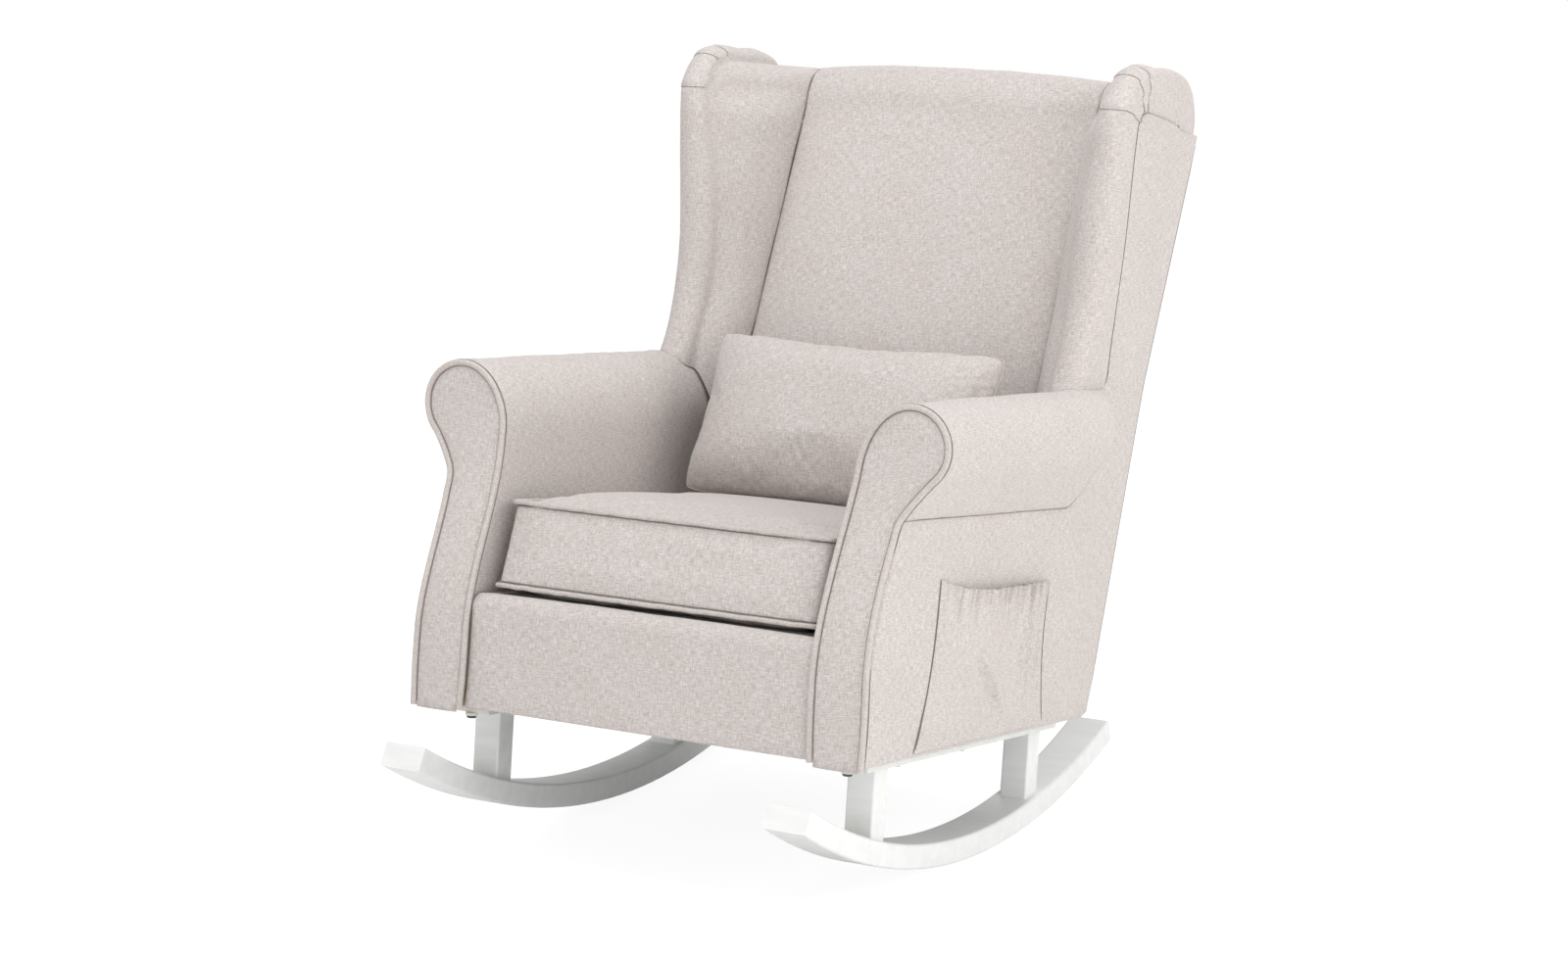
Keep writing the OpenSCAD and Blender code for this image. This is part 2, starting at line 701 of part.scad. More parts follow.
function wing_edge_y(z) = wing_front_reach
  - wing_foot_run * pow(max(0, 1 - (z - arm_top_z) / wing_foot_rise), 2);
function arc_points(cy, cz, r, a0, a1, n) = [for (k = [0 : n]) let (a = mix(a0, a1, k / n))
  [cy + r * cos(a), cz + r * sin(a)]];
function wing_outline(inset, low) = concat(
  [for (s = [0, 0.12, 0.25, 0.4, 0.6, 0.8]) let (z = mix(low, corner_z, s))
    [wing_edge_y(z) + inset, z]],
  arc_points(corner_y, corner_z, wing_corner_r - inset, 180, 90, 8),
  arc_points(shoulder_y, shoulder_z, shoulder_r - inset, 90, -back_rake, 10));

module wing_board() {
  low = arm_top_z + over;
  z = shoulder_z - (shoulder_r - board_inset) * sin(back_rake) - board_inset * sin(back_rake);
  splayed() across(board_in, panel_in)
    polygon(concat(wing_outline(board_inset, low),
      [[rear_y(z) - panel_gap - fit, z], [rear_y(low) - panel_gap - fit, low]]));
}

module back_band(z0, z1) {
  polygon([[frame_front_y(z0), z0], [rear_y(z0) - panel_gap, z0],
    [rear_y(z1) - panel_gap, z1], [frame_front_y(z1), z1]]);
}

module back_post() {
  bent(post_foot_z, rail_head_z) across(board_in - post_w, board_in)
    back_band(post_foot_z, rail_head_z + over);
}

module back_rail(z0, z1) {
  reach = board_in;
  difference() {
    across(-reach, reach) back_band(z0, z1);
    back_post();
    left_hand() back_post();
  }
}

module back_webbing_set() {
  z0 = lower_rail_z;
  z1 = rail_head_z;
  gap = web_t / cos(back_rake);
  for (x = web_spots) across(x - web_w / 2, x + web_w / 2)
    polygon([[frame_front_y(z0), z0], [frame_front_y(z1), z1],
      [frame_front_y(z1) - gap, z1], [frame_front_y(z0) - gap, z0]]);
}

/* Outside covers */
module rear_cover() {
  reach = body_w;
  line = [[rear_y(panel_top_z), panel_top_z]];
  inner = [[rear_y(panel_top_z) - panel_gap, panel_top_z]];
  side = half_body + (panel_top_z - arm_top_z) * tan(wing_splay);
  intersection() {
    across(-reach, reach)
      polygon(concat(line, rear_foot(foot_r), flipped(rear_foot(foot_r - panel_t)), inner));
    lengthways(0, reach) polygon([[-half_body, 0], [half_body, 0], [half_body, arm_top_z],
      [side, panel_top_z], [-side, panel_top_z], [-half_body, arm_top_z]]);
  }
}

seam_shares = [0, 0.22, 0.42, 0.59, 0.75, 0.89, 1];
seam_ys = concat([roll_turn_y], [for (s = seam_shares) mix(seam_turn_y, roll_end_y + roll_in, s)]);
wing_seam_gap = 1.2;
strip_rise = 95;
function strip_at(z) = mix(wing_foot_strip, wing_strip, ease((z - arm_top_z) / strip_rise));

module side_cover() {
  foot = rear_foot(foot_r - panel_t - fit);
  front = [for (p = sweep_line(arm_front_t)) if (p[1] > under_z + foot_r
    && p[1] < under_arm_z - foot_r) p];
  top = under_arm_z;
  gap = 2 * fit;
  y0 = board_front_y(top);
  body = concat([[board_front_y(under_z), under(board_front_y(under_z))]], front,
    [[y0, seam_z(y0) - gap]], [for (y = seam_ys) [y, seam_z(y) - gap]],
    [[roll_end_y + roll_in + gap, arm_top_z], [rear_y(arm_top_z) - panel_gap - fit, arm_top_z]], foot);
  wing = concat([[roll_end_y + roll_in + wing_seam_gap, arm_top_z - over]],
    [for (r = wing_table) let (p = r[0] + r[1] * (r[6] + wing_seam_gap))
      if (p[0] < rear_y(p[1]) - panel_gap - gap) p],
    [[rear_y(panel_top_z) - panel_gap - gap, panel_top_z - gap],
      [rear_y(arm_top_z) - panel_gap - gap, arm_top_z - over]]);
  across(panel_in, half_body) polygon(body);
  splayed() across(panel_in, half_body) polygon(wing);
}

/* Padded back: rows from the seat up over the top, columns across */
pad_clear = 2.4;
wall_slack = 1.5;
face_zs_shares = [0, 0.09, 0.2, 0.29, 0.33, 0.45, 0.6, 0.76, 0.88, 0.97];
roll_turns = [155, 130, 105, 80, 50, 20, 0];
pad_col_shares = [-1, -0.985, -0.93, -0.82, -0.62, -0.36, -0.12, 0.12, 0.36, 0.62, 0.82, 0.93,
  0.985, 1];
pad_foot_gap = 1;
pad_foot_z = deck_z(pad_line_y(deck_z(rear_rail_y))) + pad_foot_gap;
flare_w = deck_side - half_pad;

function face_edge(z) = [pad_line_y(z), z];
function face_core(z) = let (q = min(z, rail_head_z)) [frame_front_y(q) - pad_clear, q];
function roll_edge(a) = back_roll(a, pad_line_y(back_roll_z), back_roll_rise);
function roll_core(a) = let (z = panel_top_z + fit, y0 = frame_front_y(z) - pad_clear,
    y1 = rear_y(z) - panel_gap - wall_slack) [mix(y1, y0, (1 - cos(a)) / 2), z];
function end_edge() = [rear_y(panel_top_z + fit), panel_top_z + fit];
function end_core() = [rear_y(panel_top_z + fit) - panel_gap, panel_top_z + fit];

function pad_swell(u) = 1 - pow(abs(u), 3.2);
function face_swell(s) = s < 0.2 ? mix(0.1, 0.5, s / 0.2)
  : s < 0.45 ? mix(0.5, 1, sin(90 * (s - 0.2) / 0.25)) : mix(1, 0.42, ease((s - 0.6) / 0.4));

module back_padding() {
  outer = concat(
    [for (s = face_zs_shares) let (z = mix(pad_foot_z, back_roll_z, s),
        w = half_pad + (z < wall_top_z - 2 * foot_r ? flare_w : 0))
      [for (u = pad_col_shares) let (c = back_crown * face_swell(s) * pad_swell(u))
        [w * u, pad_line_y(z) - c * cos(pad_rake), z + c * sin(pad_rake)]]],
    [for (a = roll_turns) let (p = roll_edge(a))
      [for (u = pad_col_shares) let (c = back_crown * mix(0.06, 0.4, ease((a - 30) / 125))
          * pad_swell(u), d = a > 90 ? a : 90)
        [half_pad * u, p[0] + c * cos(d) * (a > 90 ? 1 : 0), p[1] + c * sin(d) * (a > 20 ? 1 : 0)]]],
    [let (p = end_edge()) [for (u = pad_col_shares) [half_pad * u, p[0], p[1]]]]);
  inner = concat(
    [for (s = face_zs_shares) let (z = mix(pad_foot_z, back_roll_z, s), p = face_core(z),
        w = half_pad + (z < wall_top_z - 2 * foot_r ? flare_w : 0))
      [for (u = pad_col_shares) [w * u, p[0], min(z, rail_head_z)]]],
    [for (a = roll_turns) let (p = roll_core(a))
      [for (u = pad_col_shares) [half_pad * u, p[0], p[1]]]],
    [let (p = end_core()) [for (u = pad_col_shares) [half_pad * u, p[0], p[1]]]]);
  skin(outer, inner);
}

/* Wings: rows run up the front edge and over the top, columns from the back's face around */
wing_zs_shares = [0, 0.07, 0.17, 0.31, 0.5, 0.7, 0.86, 1];
wing_t_shares = [1, 1, 1.04, 1.1, 1.14, 1.08, 0.96, 0.86];
top_t_share = 0.8;
corner_turns = [[162, 172], [135, 158], [108, 145], [90, 135]];
shoulder_turns = [[90, 100], [65, 70], [40, 40], [15, 12]];
crease_x = half_pad + fit;
face_cols_shares = [0, 0.3, 0.6, 0.85];
nose_turns = [0, 30, 60, 90, 120, 150, 180];
side_cols_shares = [0.5, 1];
wing_puff = 9;

function wing_row(p, n, t, k, kin, puff, w) = [p, n, t, k, kin, puff, w];
wing_table = concat(
  [for (i = [0 : len(wing_zs_shares) - 1]) let (z = mix(arm_top_z, corner_z, wing_zs_shares[i]),
      zk = i == 0 ? wall_top_z : z)
    wing_row([wing_edge_y(z), z], [1, 0], wing_t * wing_t_shares[i], face_edge(zk),
      face_core(zk), wing_puff, strip_at(z))],
  [for (c = corner_turns) wing_row([corner_y + wing_corner_r * cos(c[0]), corner_z
      + wing_corner_r * sin(c[0])], [-cos(c[0]), -sin(c[0])], wing_t * top_t_share,
      roll_edge(c[1]), roll_core(c[1]), 0, wing_strip)],
  [wing_row([(corner_y + shoulder_y) / 2, wing_top_z], [0, -1], wing_t * top_t_share,
      roll_edge(118), roll_core(118), 0, wing_strip)],
  [for (c = shoulder_turns) wing_row([shoulder_y + shoulder_r * cos(c[0]), shoulder_z
      + shoulder_r * sin(c[0])], [-cos(c[0]), -sin(c[0])], wing_t * top_t_share,
      roll_edge(c[1]), roll_core(c[1]), 0, wing_strip)],
  [wing_row([rear_y(panel_top_z), panel_top_z + fit], [-cos(back_rake), sin(back_rake)],
      wing_t * top_t_share, end_edge(), end_core(), 0, wing_strip)]);

function lean_out(z) = (max(z, arm_top_z) - arm_top_z) * tan(wing_splay);
function spot(r, x, d) = let (y = r[0][0] + r[1][0] * d, z = r[0][1] + r[1][1] * d)
  [x + lean_out(z), y, z];
function inner_face(r, s) = let (nose_d = r[2] / 2, n = spot(r, half_body - r[2], nose_d),
    k = [crease_x, r[3][0], r[3][1]], v = n - k, q = [-abs(v[1]), -abs(v[0]), 0],
    g = norm(q) > 0 ? r[5] * sin(180 * s) * q / norm(q) : [0, 0, 0])
  mix(k, n, s) + g;
function nose_spot(r, b) = spot(r, half_body - r[2] / 2 - r[2] / 2 * cos(b),
  r[2] / 2 * (1 - sin(b)));
core_skin = 24;
core_d = core_skin - fit;
core_far = 50;
core_side_shares = [0, 0, 0, 0.5, 1, 1, 1, 1, 1];
core_depth_shares = [0.81, 0.61, 0, 0, 0, 0.52, 0.65, 0.82, 1];

module wing_pad() {
  rows = len(wing_table);
  seat = function (r, i, p) i == 0 ? [p[0], p[1], wing_foot_z(p[0])] : p;
  outer = [for (i = [0 : rows - 1]) let (r = wing_table[i])
    [for (p = concat([for (s = face_cols_shares) inner_face(r, s)],
        [for (b = nose_turns) nose_spot(r, b)],
        [for (s = side_cols_shares) spot(r, half_body, mix(r[2] / 2, r[6], s))]))
      seat(r, i, p)]];
  inner = [for (i = [0 : rows - 1]) let (r = wing_table[i], b = spot(r, board_in - fit, core_far))
    [for (p = concat([for (s = face_cols_shares) mix([crease_x, r[4][0], r[4][1]], b, s)],
        [for (k = [0 : len(core_side_shares) - 1]) let (s = core_side_shares[k])
          spot(r, s < 1 ? board_in - fit + s * board_t : panel_in + fit,
            max(core_d, core_depth_shares[k] * r[6]))]))
      seat(r, i, p)]];
  skin(outer, inner);
}

/* Pocket on the right-hand outside cover */
pocket_mouth_shares = [[-0.567, 1.06], [-0.478, 1.014], [-0.358, 0.982], [-0.224, 0.964],
  [-0.081, 0.959], [0.075, 0.956], [0.224, 0.954], [0.343, 0.952], [0.431, 0.95]];
pocket_foot_shares = [-0.696, -0.567, -0.418, -0.254, -0.09, 0.075, 0.224, 0.358, 0.448];
pocket_hem = 2.4;
pocket_rise_shares = [0, 0.12, 0.3, 0.5, 0.7, 0.86, 0.95, 1];
pocket_belly = 11;
band_drop = 7;
band_share = 0.94;
band_gap = 0.72;

pocket_last = len(pocket_mouth_shares) - 1;
pocket_mouth = [for (p = pocket_mouth_shares) let (y = p[0] * pocket_w)
  [y, under(y) + p[1] * pocket_h]];
pocket_foot = [for (share = pocket_foot_shares) let (y = share * pocket_w)
  [y, under(y) + pocket_hem + over]];
function pocket_lift(u) = pocket_swell * pow(sin(180 * u), 0.7);

module pocket_cloth() {
  cloth = function (out) [for (v = pocket_rise_shares) [for (c = [0 : pocket_last])
    let (u = c / pocket_last, p = mix(pocket_foot[c], pocket_mouth[c], v),
      bow = pocket_belly * sin(180 * v) * pow(max(0, 1 - 2 * u), 3))
    [half_body + fit + (out ? pocket_t : 0) + pocket_lift(u) * pow(v, 0.9), p[0] + bow, p[1]]]];
  skin(cloth(true), cloth(false));
}

module pocket_band() {
  path = [for (c = [1 : pocket_last - 1])
    [half_body + pocket_lift(c / pocket_last) * band_share + pocket_t + wire_d / 2 + band_gap,
      pocket_mouth[c][0], pocket_mouth[c][1] - band_drop]];
  cord(path, wire_d, 6, [1, 0, 0], false);
}

/* Seat cushion and its piping, drawn in the seat's own frame */
cushion_y0 = 29;
welt_low = 15;
cushion_rest = 0.5;
front_slant = 26;
waist_in = 5;
waist_half = 1;
cushion_cols = [[-1, 0], [-1, 1], [-0.95, 1], [-0.85, 1], [-0.66, 1], [-0.4, 1], [-0.13, 1],
  [0.13, 1], [0.4, 1], [0.66, 1], [0.85, 1], [0.95, 1], [1, 1], [1, 0]];
corner_share = 0.045;
welt_d = piping_d * 0.8;
welt_step = welt_d * 0.38 + fit;
welt_allow = welt_d / 2 + welt_step;

function cushion_spot(u, v, ring, up) = let (
    pull = 1 - corner_share * pow(abs(u * v), 6),
    shrink = ring == 0 ? waist_in : 0,
    w = (cushion_w / 2 - welt_allow - shrink) * pull * u,
    flat = (1 - pow(abs(u), 3)) * (1 - pow(abs(v), 3)),
    edge = up ? welt_low + cushion_border : welt_low,
    waist = welt_low + cushion_border / 2 + (up ? waist_half : -waist_half),
    h = ring == 0 ? waist : edge + (up ? cushion_crown : cushion_rest - welt_low)
      * pow(flat, up ? 0.75 : 0.5),
    half_d = cushion_d / 2,
    mid = cushion_y0 + half_d + front_slant * (h - welt_low) / cushion_border)
  [w, mid + (half_d - shrink) * pull * v, h];

module cushion_body() {
  grid = function (up) [for (r = cushion_cols) [for (c = cushion_cols)
    cushion_spot(c[0], r[0], min(c[1], r[1]), up)]];
  on_seat() skin(grid(true), grid(false));
}

loop_shares = [-1, -0.96, -0.85, -0.6, -0.3, 0, 0.3, 0.6, 0.85, 0.96];

module cushion_welt(up) {
  loop = concat([for (s = loop_shares) [s, -1]], [for (s = loop_shares) [1, s]],
    [for (s = loop_shares) [-s, 1]], [for (s = loop_shares) [-1, -s]]);
  on_seat() cord([for (p = loop) let (q = cushion_spot(p[0], p[1], 1, up),
      centre = [0, cushion_y0 + cushion_d / 2 + front_slant / 2, q[2]], v = centre - q)
    q - v / norm(v) * welt_step + [0, 0, up ? welt_step : -welt_step]],
    welt_d, 6, [0, 0, 1], true);
}

/* Small pillow that stands on the cushion and leans on the back */
pillow_x = 8;
pillow_y = 94;
pillow_lift = 134.8;
pillow_cols_shares = [-1, -0.95, -0.85, -0.68, -0.46, -0.22, 0, 0.22, 0.46, 0.68, 0.85, 0.95, 1];
pillow_rows_shares = [-1, -0.94, -0.82, -0.62, -0.38, -0.13, 0.13, 0.38, 0.62, 0.82, 0.94, 1];
pillow_draw = 12;
pillow_sag = 3;
pillow_seam = 0.8;

module pillow_body() {
  grid = function (side) [for (v = pillow_rows_shares) [for (u = pillow_cols_shares)
    let (full = pow((1 - pow(abs(u), 4)) * (1 - pow(abs(v), 4)), 0.55),
      x = u * (pillow_w / 2 - pillow_draw * (1 - v * v)),
      z = v * (pillow_h / 2 - (v > 0 ? pillow_draw : pillow_sag) * (1 - u * u)),
      t = side * (pillow_seam + (pillow_t / 2 - pillow_seam) * full))
    [x, t, z + pillow_h / 2]]];
  translate([pillow_x, pillow_y, deck_z(pillow_y) + pillow_lift]) rotate([-pillow_rake, 0, 0])
    skin(grid(-1), grid(1));
}

/* Named parts, in the standing chair */
module place(side) {
  standing() mirror([side < 0 ? 1 : 0, 0, 0]) children();
}

module rocker_left() { color(paint) place(-1) rocker(); }
module rocker_right() { color(paint) place(1) rocker(); }
module front_leg_left() { color(paint) place(-1) leg(-front_leg_reach); }
module front_leg_right() { color(paint) place(1) leg(-front_leg_reach); }
module rear_leg_left() { color(paint) place(-1) leg(rear_leg_reach); }
module rear_leg_right() { color(paint) place(1) leg(rear_leg_reach); }
module leg_screws() {
  color(steel) for (side = [-1, 1]) place(side) leg_screw_set();
}
module mounting_rail_left() { color(paint) place(-1) mounting_rail(); }
module mounting_rail_right() { color(paint) place(1) mounting_rail(); }
module rail_bolts() { color(steel) for (side = [-1, 1]) place(side) bolt_set(); }
module sole_board_left() { color(raw_wood) place(-1) sole_board(); }
module sole_board_right() { color(raw_wood) place(1) sole_board(); }
module front_seat_rail() { color(raw_wood) place(1) front_seat_rail_body(); }
module rear_seat_rail() { color(raw_wood) place(1) rear_seat_rail_body(); }
module side_seat_rails() {
  color(raw_wood) for (side = [-1, 1]) place(side) side_seat_rail();
}
module seat_springs() { color(steel) place(1) seat_spring_set(); }
module spring_clips() { color(steel) place(1) clip_set(); }
module seat_deck() { color(linen) place(1) seat_deck_body(); }
module dust_cover() { color(dark_cloth) place(1) dust_cover_body(); }
module arm_board_left() { color(raw_wood) place(-1) arm_board(); }
module arm_board_right() { color(raw_wood) place(1) arm_board(); }
module roll_former_left() { color(raw_wood) place(-1) roll_former(); }
module roll_former_right() { color(raw_wood) place(1) roll_former(); }
module wing_board_left() { color(raw_wood) place(-1) wing_board(); }
module wing_board_right() { color(raw_wood) place(1) wing_board(); }
module back_post_left() { color(raw_wood) place(-1) back_post(); }
module back_post_right() { color(raw_wood) place(1) back_post(); }
module back_top_rail() { color(raw_wood) place(1) back_rail(rail_head_z - top_rail_h, rail_head_z); }
module back_lower_rail() {
  color(raw_wood) place(1) back_rail(lower_rail_z, lower_rail_z + lower_rail_h);
}
module back_webbing() { color(dark_cloth) place(1) back_webbing_set(); }
module arm_left() { color(linen) place(-1) arm_pad(); }
module arm_right() { color(linen) place(1) arm_pad(); }
module arm_front_left() { color(linen) place(-1) arm_front(); }
module arm_front_right() { color(linen) place(1) arm_front(); }
module arm_piping_left() { color(piping_linen) place(-1) arm_piping(); }
module arm_piping_right() { color(piping_linen) place(1) arm_piping(); }
module front_apron() { color(linen) place(1) apron(); }
module side_panel_left() { color(linen) place(-1) side_cover(); }
module side_panel_right() { color(linen) place(1) side_cover(); }
module rear_panel() { color(linen) place(1) rear_cover(); }
module back_pad() { color(linen) place(1) back_padding(); }
module wing_left() { color(linen) place(-1) wing_pad(); }
module wing_right() { color(linen) place(1) wing_pad(); }
module side_pocket() { color(linen) place(1) pocket_cloth(); }
module pocket_elastic() { color(linen) place(1) pocket_band(); }
module seat_cushion() { color(linen) place(1) cushion_body(); }
module cushion_piping() {
  color(piping_linen) for (up = [true, false]) place(1) cushion_welt(up);
}
module lumbar_pillow() { color(linen) place(1) pillow_body(); }

rocker_left();
rocker_right();
front_leg_left();
front_leg_right();
rear_leg_left();
rear_leg_right();
leg_screws();
mounting_rail_left();
mounting_rail_right();
rail_bolts();
sole_board_left();
sole_board_right();
front_seat_rail();
rear_seat_rail();
side_seat_rails();
seat_springs();
spring_clips();
seat_deck();
dust_cover();
arm_board_left();
arm_board_right();
roll_former_left();
roll_former_right();
wing_board_left();
wing_board_right();
back_post_left();
back_post_right();
back_top_rail();
back_lower_rail();
back_webbing();
arm_left();
arm_right();
arm_front_left();
arm_front_right();
arm_piping_left();
arm_piping_right();
front_apron();
side_panel_left();
side_panel_right();
rear_panel();
back_pad();
wing_left();
wing_right();
side_pocket();
pocket_elastic();
seat_cushion();
cushion_piping();
lumbar_pillow();
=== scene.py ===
import json
import math

import bmesh
import bpy
import numpy as np
from mathutils import Matrix, Vector

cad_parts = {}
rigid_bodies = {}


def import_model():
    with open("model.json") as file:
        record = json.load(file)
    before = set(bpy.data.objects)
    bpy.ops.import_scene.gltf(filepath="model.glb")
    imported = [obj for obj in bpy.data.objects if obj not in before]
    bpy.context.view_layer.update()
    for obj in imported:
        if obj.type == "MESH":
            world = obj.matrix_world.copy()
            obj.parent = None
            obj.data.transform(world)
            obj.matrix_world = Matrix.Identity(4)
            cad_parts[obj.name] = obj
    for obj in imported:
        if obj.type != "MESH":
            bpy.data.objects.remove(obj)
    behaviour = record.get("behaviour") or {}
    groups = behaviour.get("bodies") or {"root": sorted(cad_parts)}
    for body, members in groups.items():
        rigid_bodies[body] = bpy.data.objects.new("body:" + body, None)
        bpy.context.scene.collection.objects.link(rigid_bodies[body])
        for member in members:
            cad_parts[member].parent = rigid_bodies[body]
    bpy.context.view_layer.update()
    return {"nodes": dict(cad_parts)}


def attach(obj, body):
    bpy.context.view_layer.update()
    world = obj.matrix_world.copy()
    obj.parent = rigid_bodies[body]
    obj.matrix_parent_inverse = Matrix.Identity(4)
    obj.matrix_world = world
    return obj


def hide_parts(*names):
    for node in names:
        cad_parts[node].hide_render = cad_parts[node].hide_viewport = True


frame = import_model()

# The chair is drawn level, in millimetres, and then stood in its resting lean in metres.
# X runs towards the pocket's side, Y towards the back and Z up.
LEAN = math.radians(7.5)
ROCKER_R = 1114.0
SHIFT = 44.48
SPLAY = math.tan(math.radians(2.6))
BACK_RAKE = math.radians(15.3)
PAD_RAKE = math.radians(20.4)
SEAT_RAKE = math.radians(3.5)
PILLOW_RAKE = math.radians(29)
HALF, SEAT, PAD_HALF = 322.0, 245.0, 225.0
FRONT, REAR, REAR_FOOT = -361.0, 309.0, 154.07
BODY_FOOT, FOOT_FALL = 160.0, math.tan(math.radians(1.1))
DECK_FRONT, DECK_REAR = 314.0, 300.0
SWEEP, SWEEP_FOOT, SWEEP_RISE = 75.0, 261.2, 283.8
ARM_TOP, WALL_TOP, UNDER_ARM = 600.0, 508.0, 461.0
ROLL_X, ROLL_Z, ROLL_R, ROLL_W, ROLL_H = 319.0, 545.0, 55.0, 70.0, 92.0
ROLL_TURN, ROLL_END = 152.0, 290.0
RISE = (ROLL_X, WALL_TOP, ROLL_W, ROLL_H)
ROLL = (ROLL_X, ROLL_Z, ROLL_R, ROLL_R)
SEAM_TURN, SEAM_FALL, SEAM_START, SEAM_CLIMB = 193.0, 16.0, 445.0, 68.0
PAD_TOP, PAD_HEAD, PAD_SWELL = 965.0, 45.0, 36.0
PAD_LINE_TOP, PAD_LINE_DEEP = 1010.0, 94.0
WING_FRONT, WING_TOP, CORNER_R = 246.0, 1030.0, 85.0
SHOULDER_Z, SHOULDER_R = 950.0, 80.0
PANEL_TOP = SHOULDER_Z - SHOULDER_R * math.sin(BACK_RAKE)


def stand(p):
    """Level millimetres to world metres."""
    p = np.asarray(p, float)
    x, y, z = p[..., 0], p[..., 1], p[..., 2] - ROCKER_R
    c, s = math.cos(LEAN), math.sin(LEAN)
    return np.stack([x, c * y + s * z + SHIFT, ROCKER_R - s * y + c * z], -1) * 0.001


def ease(t):
    u = np.clip(t, 0, 1)
    return u * u * (3 - 2 * u)


def mix(a, b, t):
    return a + (b - a) * t


def under(y):
    """Height of the body's underside."""
    return BODY_FOOT - y * FOOT_FALL


def front_y(z):
    """Depth of the arm fronts' swept face."""
    return SWEEP * ease((z - SWEEP_FOOT) / SWEEP_RISE) + FRONT


def deck_z(y):
    return DECK_FRONT - (y - FRONT) * math.tan(SEAT_RAKE)


def rear_y(z):
    """Depth of the outside back."""
    return REAR + (z - REAR_FOOT) * math.tan(BACK_RAKE)


def pad_line_y(z):
    """Depth of the line that the back's padding swells from."""
    return rear_y(PAD_LINE_TOP) - PAD_LINE_DEEP - (PAD_LINE_TOP - z) * math.tan(PAD_RAKE)


def seam_z(y):
    """Height of the seam between an arm and the outside cover."""
    low = UNDER_ARM - SEAM_FALL * np.maximum(0, (y - FRONT) / (SEAM_TURN - FRONT))
    high = SEAM_START + SEAM_CLIMB * (np.maximum(y - SEAM_TURN, 0) / 100) ** 1.4
    return np.where(y < SEAM_TURN, low, high)


def splayed_x(z):
    return HALF + np.maximum(z - ARM_TOP, 0) * SPLAY


def wave_noise(p, size, seed, octaves=3):
    """A smooth seeded field between about -1 and 1, with features of the given size in mm."""
    rng = np.random.default_rng(seed)
    total = np.zeros(p.shape[:-1])
    for o in range(octaves):
        for _ in range(5):
            k = rng.normal(size=3)
            k = k / np.linalg.norm(k) * 2 * math.pi / size * 2**o * rng.uniform(0.7, 1.3)
            total += np.sin(p @ k + rng.uniform(0, 6.3)) * 0.5**o
    return total / 4.2


# grids and splines


def points(*axes):
    """Points from coordinates that broadcast against each other."""
    return np.stack(np.broadcast_arrays(*axes), -1)


def crowded(n, power):
    """n values from -1 to 1 that crowd towards both ends."""
    a = np.linspace(-1, 1, n)
    return np.sign(a) * (1 - (1 - np.abs(a)) ** power)


def four_sides(s):
    """Places (u, v) once around a square, each side divided as s."""
    return np.concatenate([points(s, -1), points(1, s), points(-s, 1), points(-1, -s)])


def hill(x, width):
    """A smooth hill of height 1 round x = 0."""
    return np.exp(-((x / width) ** 2))


def unit(v):
    return v / np.maximum(np.linalg.norm(v, axis=-1, keepdims=True), 1e-9)


def arc(x, z, across, high, start, end, n):
    """Points of an ellipse's arc, from a start to an end in degrees."""
    turn = np.radians(np.linspace(start, end, n))
    return [(x + across * math.cos(a), z + high * math.sin(a)) for a in turn]


def chords(P, axis):
    d = np.linalg.norm(np.diff(P, axis=axis), axis=-1)
    d = d.mean(axis=tuple(a for a in range(d.ndim) if a != axis)) if d.ndim > 1 else d
    return np.concatenate([[0], np.cumsum(np.maximum(d, 1e-6))])


def even(P, axis, n):
    """n places evenly apart along an axis, as fractions of the control index."""
    t = chords(P, axis)
    return np.interp(np.linspace(0, t[-1], n), t, np.arange(len(t)))


def spline(P, at, axis=0):
    """Points of a smooth curve through the controls, at fractional control indices."""
    P = np.moveaxis(np.asarray(P, float), axis, 0)
    t = chords(P, 0)
    h = np.diff(t).reshape([-1] + [1] * (P.ndim - 1))
    slope = np.diff(P, axis=0) / h
    middle = (slope[:-1] * h[1:] + slope[1:] * h[:-1]) / (h[1:] + h[:-1])
    m = np.concatenate([slope[:1], middle, slope[-1:]])
    at = np.asarray(at, float)
    i = np.clip(at.astype(int), 0, len(t) - 2)
    s = (at - i).reshape([-1] + [1] * (P.ndim - 1))
    out = (
        (2 * s**3 - 3 * s**2 + 1) * P[i]
        + (s**3 - 2 * s**2 + s) * h[i] * m[i]
        + (3 * s**2 - 2 * s**3) * P[i + 1]
        + (s**3 - s**2) * h[i] * m[i + 1]
    )
    return np.moveaxis(out, 0, axis)


def smooth_path(P, n):
    P = np.asarray(P, float)
    return spline(P, even(P, 0, n))


def smooth_grid(control, rows, cols):
    """A grid splined both ways, with the control indices of its rows and columns."""
    at_rows, at_cols = even(control, 0, rows), even(control, 1, cols)
    return spline(spline(control, at_rows, 0), at_cols, 1), at_rows, at_cols


def normals(P):
    return unit(np.cross(np.gradient(P, axis=0), np.gradient(P, axis=1)))


def outward(P, core):
    """Normals of a grid that point away from a core point."""
    n = normals(P)
    return n if (n * (P - np.asarray(core, float))).sum() > 0 else -n


def mirrored(P, side):
    return np.asarray(P, float) * (side, 1, 1)


def lengths(P, axis):
    """Distances along the lines of a grid, from their middles."""
    c = np.cumsum(np.linalg.norm(np.diff(P, axis=axis), axis=-1), axis=axis)
    pad = [(0, 0), (0, 0)]
    pad[axis] = (1, 0)
    c = np.pad(c, pad)
    return c - np.take(c, [c.shape[axis] // 2], axis=axis)


def linked(name, data):
    ob = bpy.data.objects.new(name, data)
    bpy.context.scene.collection.objects.link(ob)
    return ob


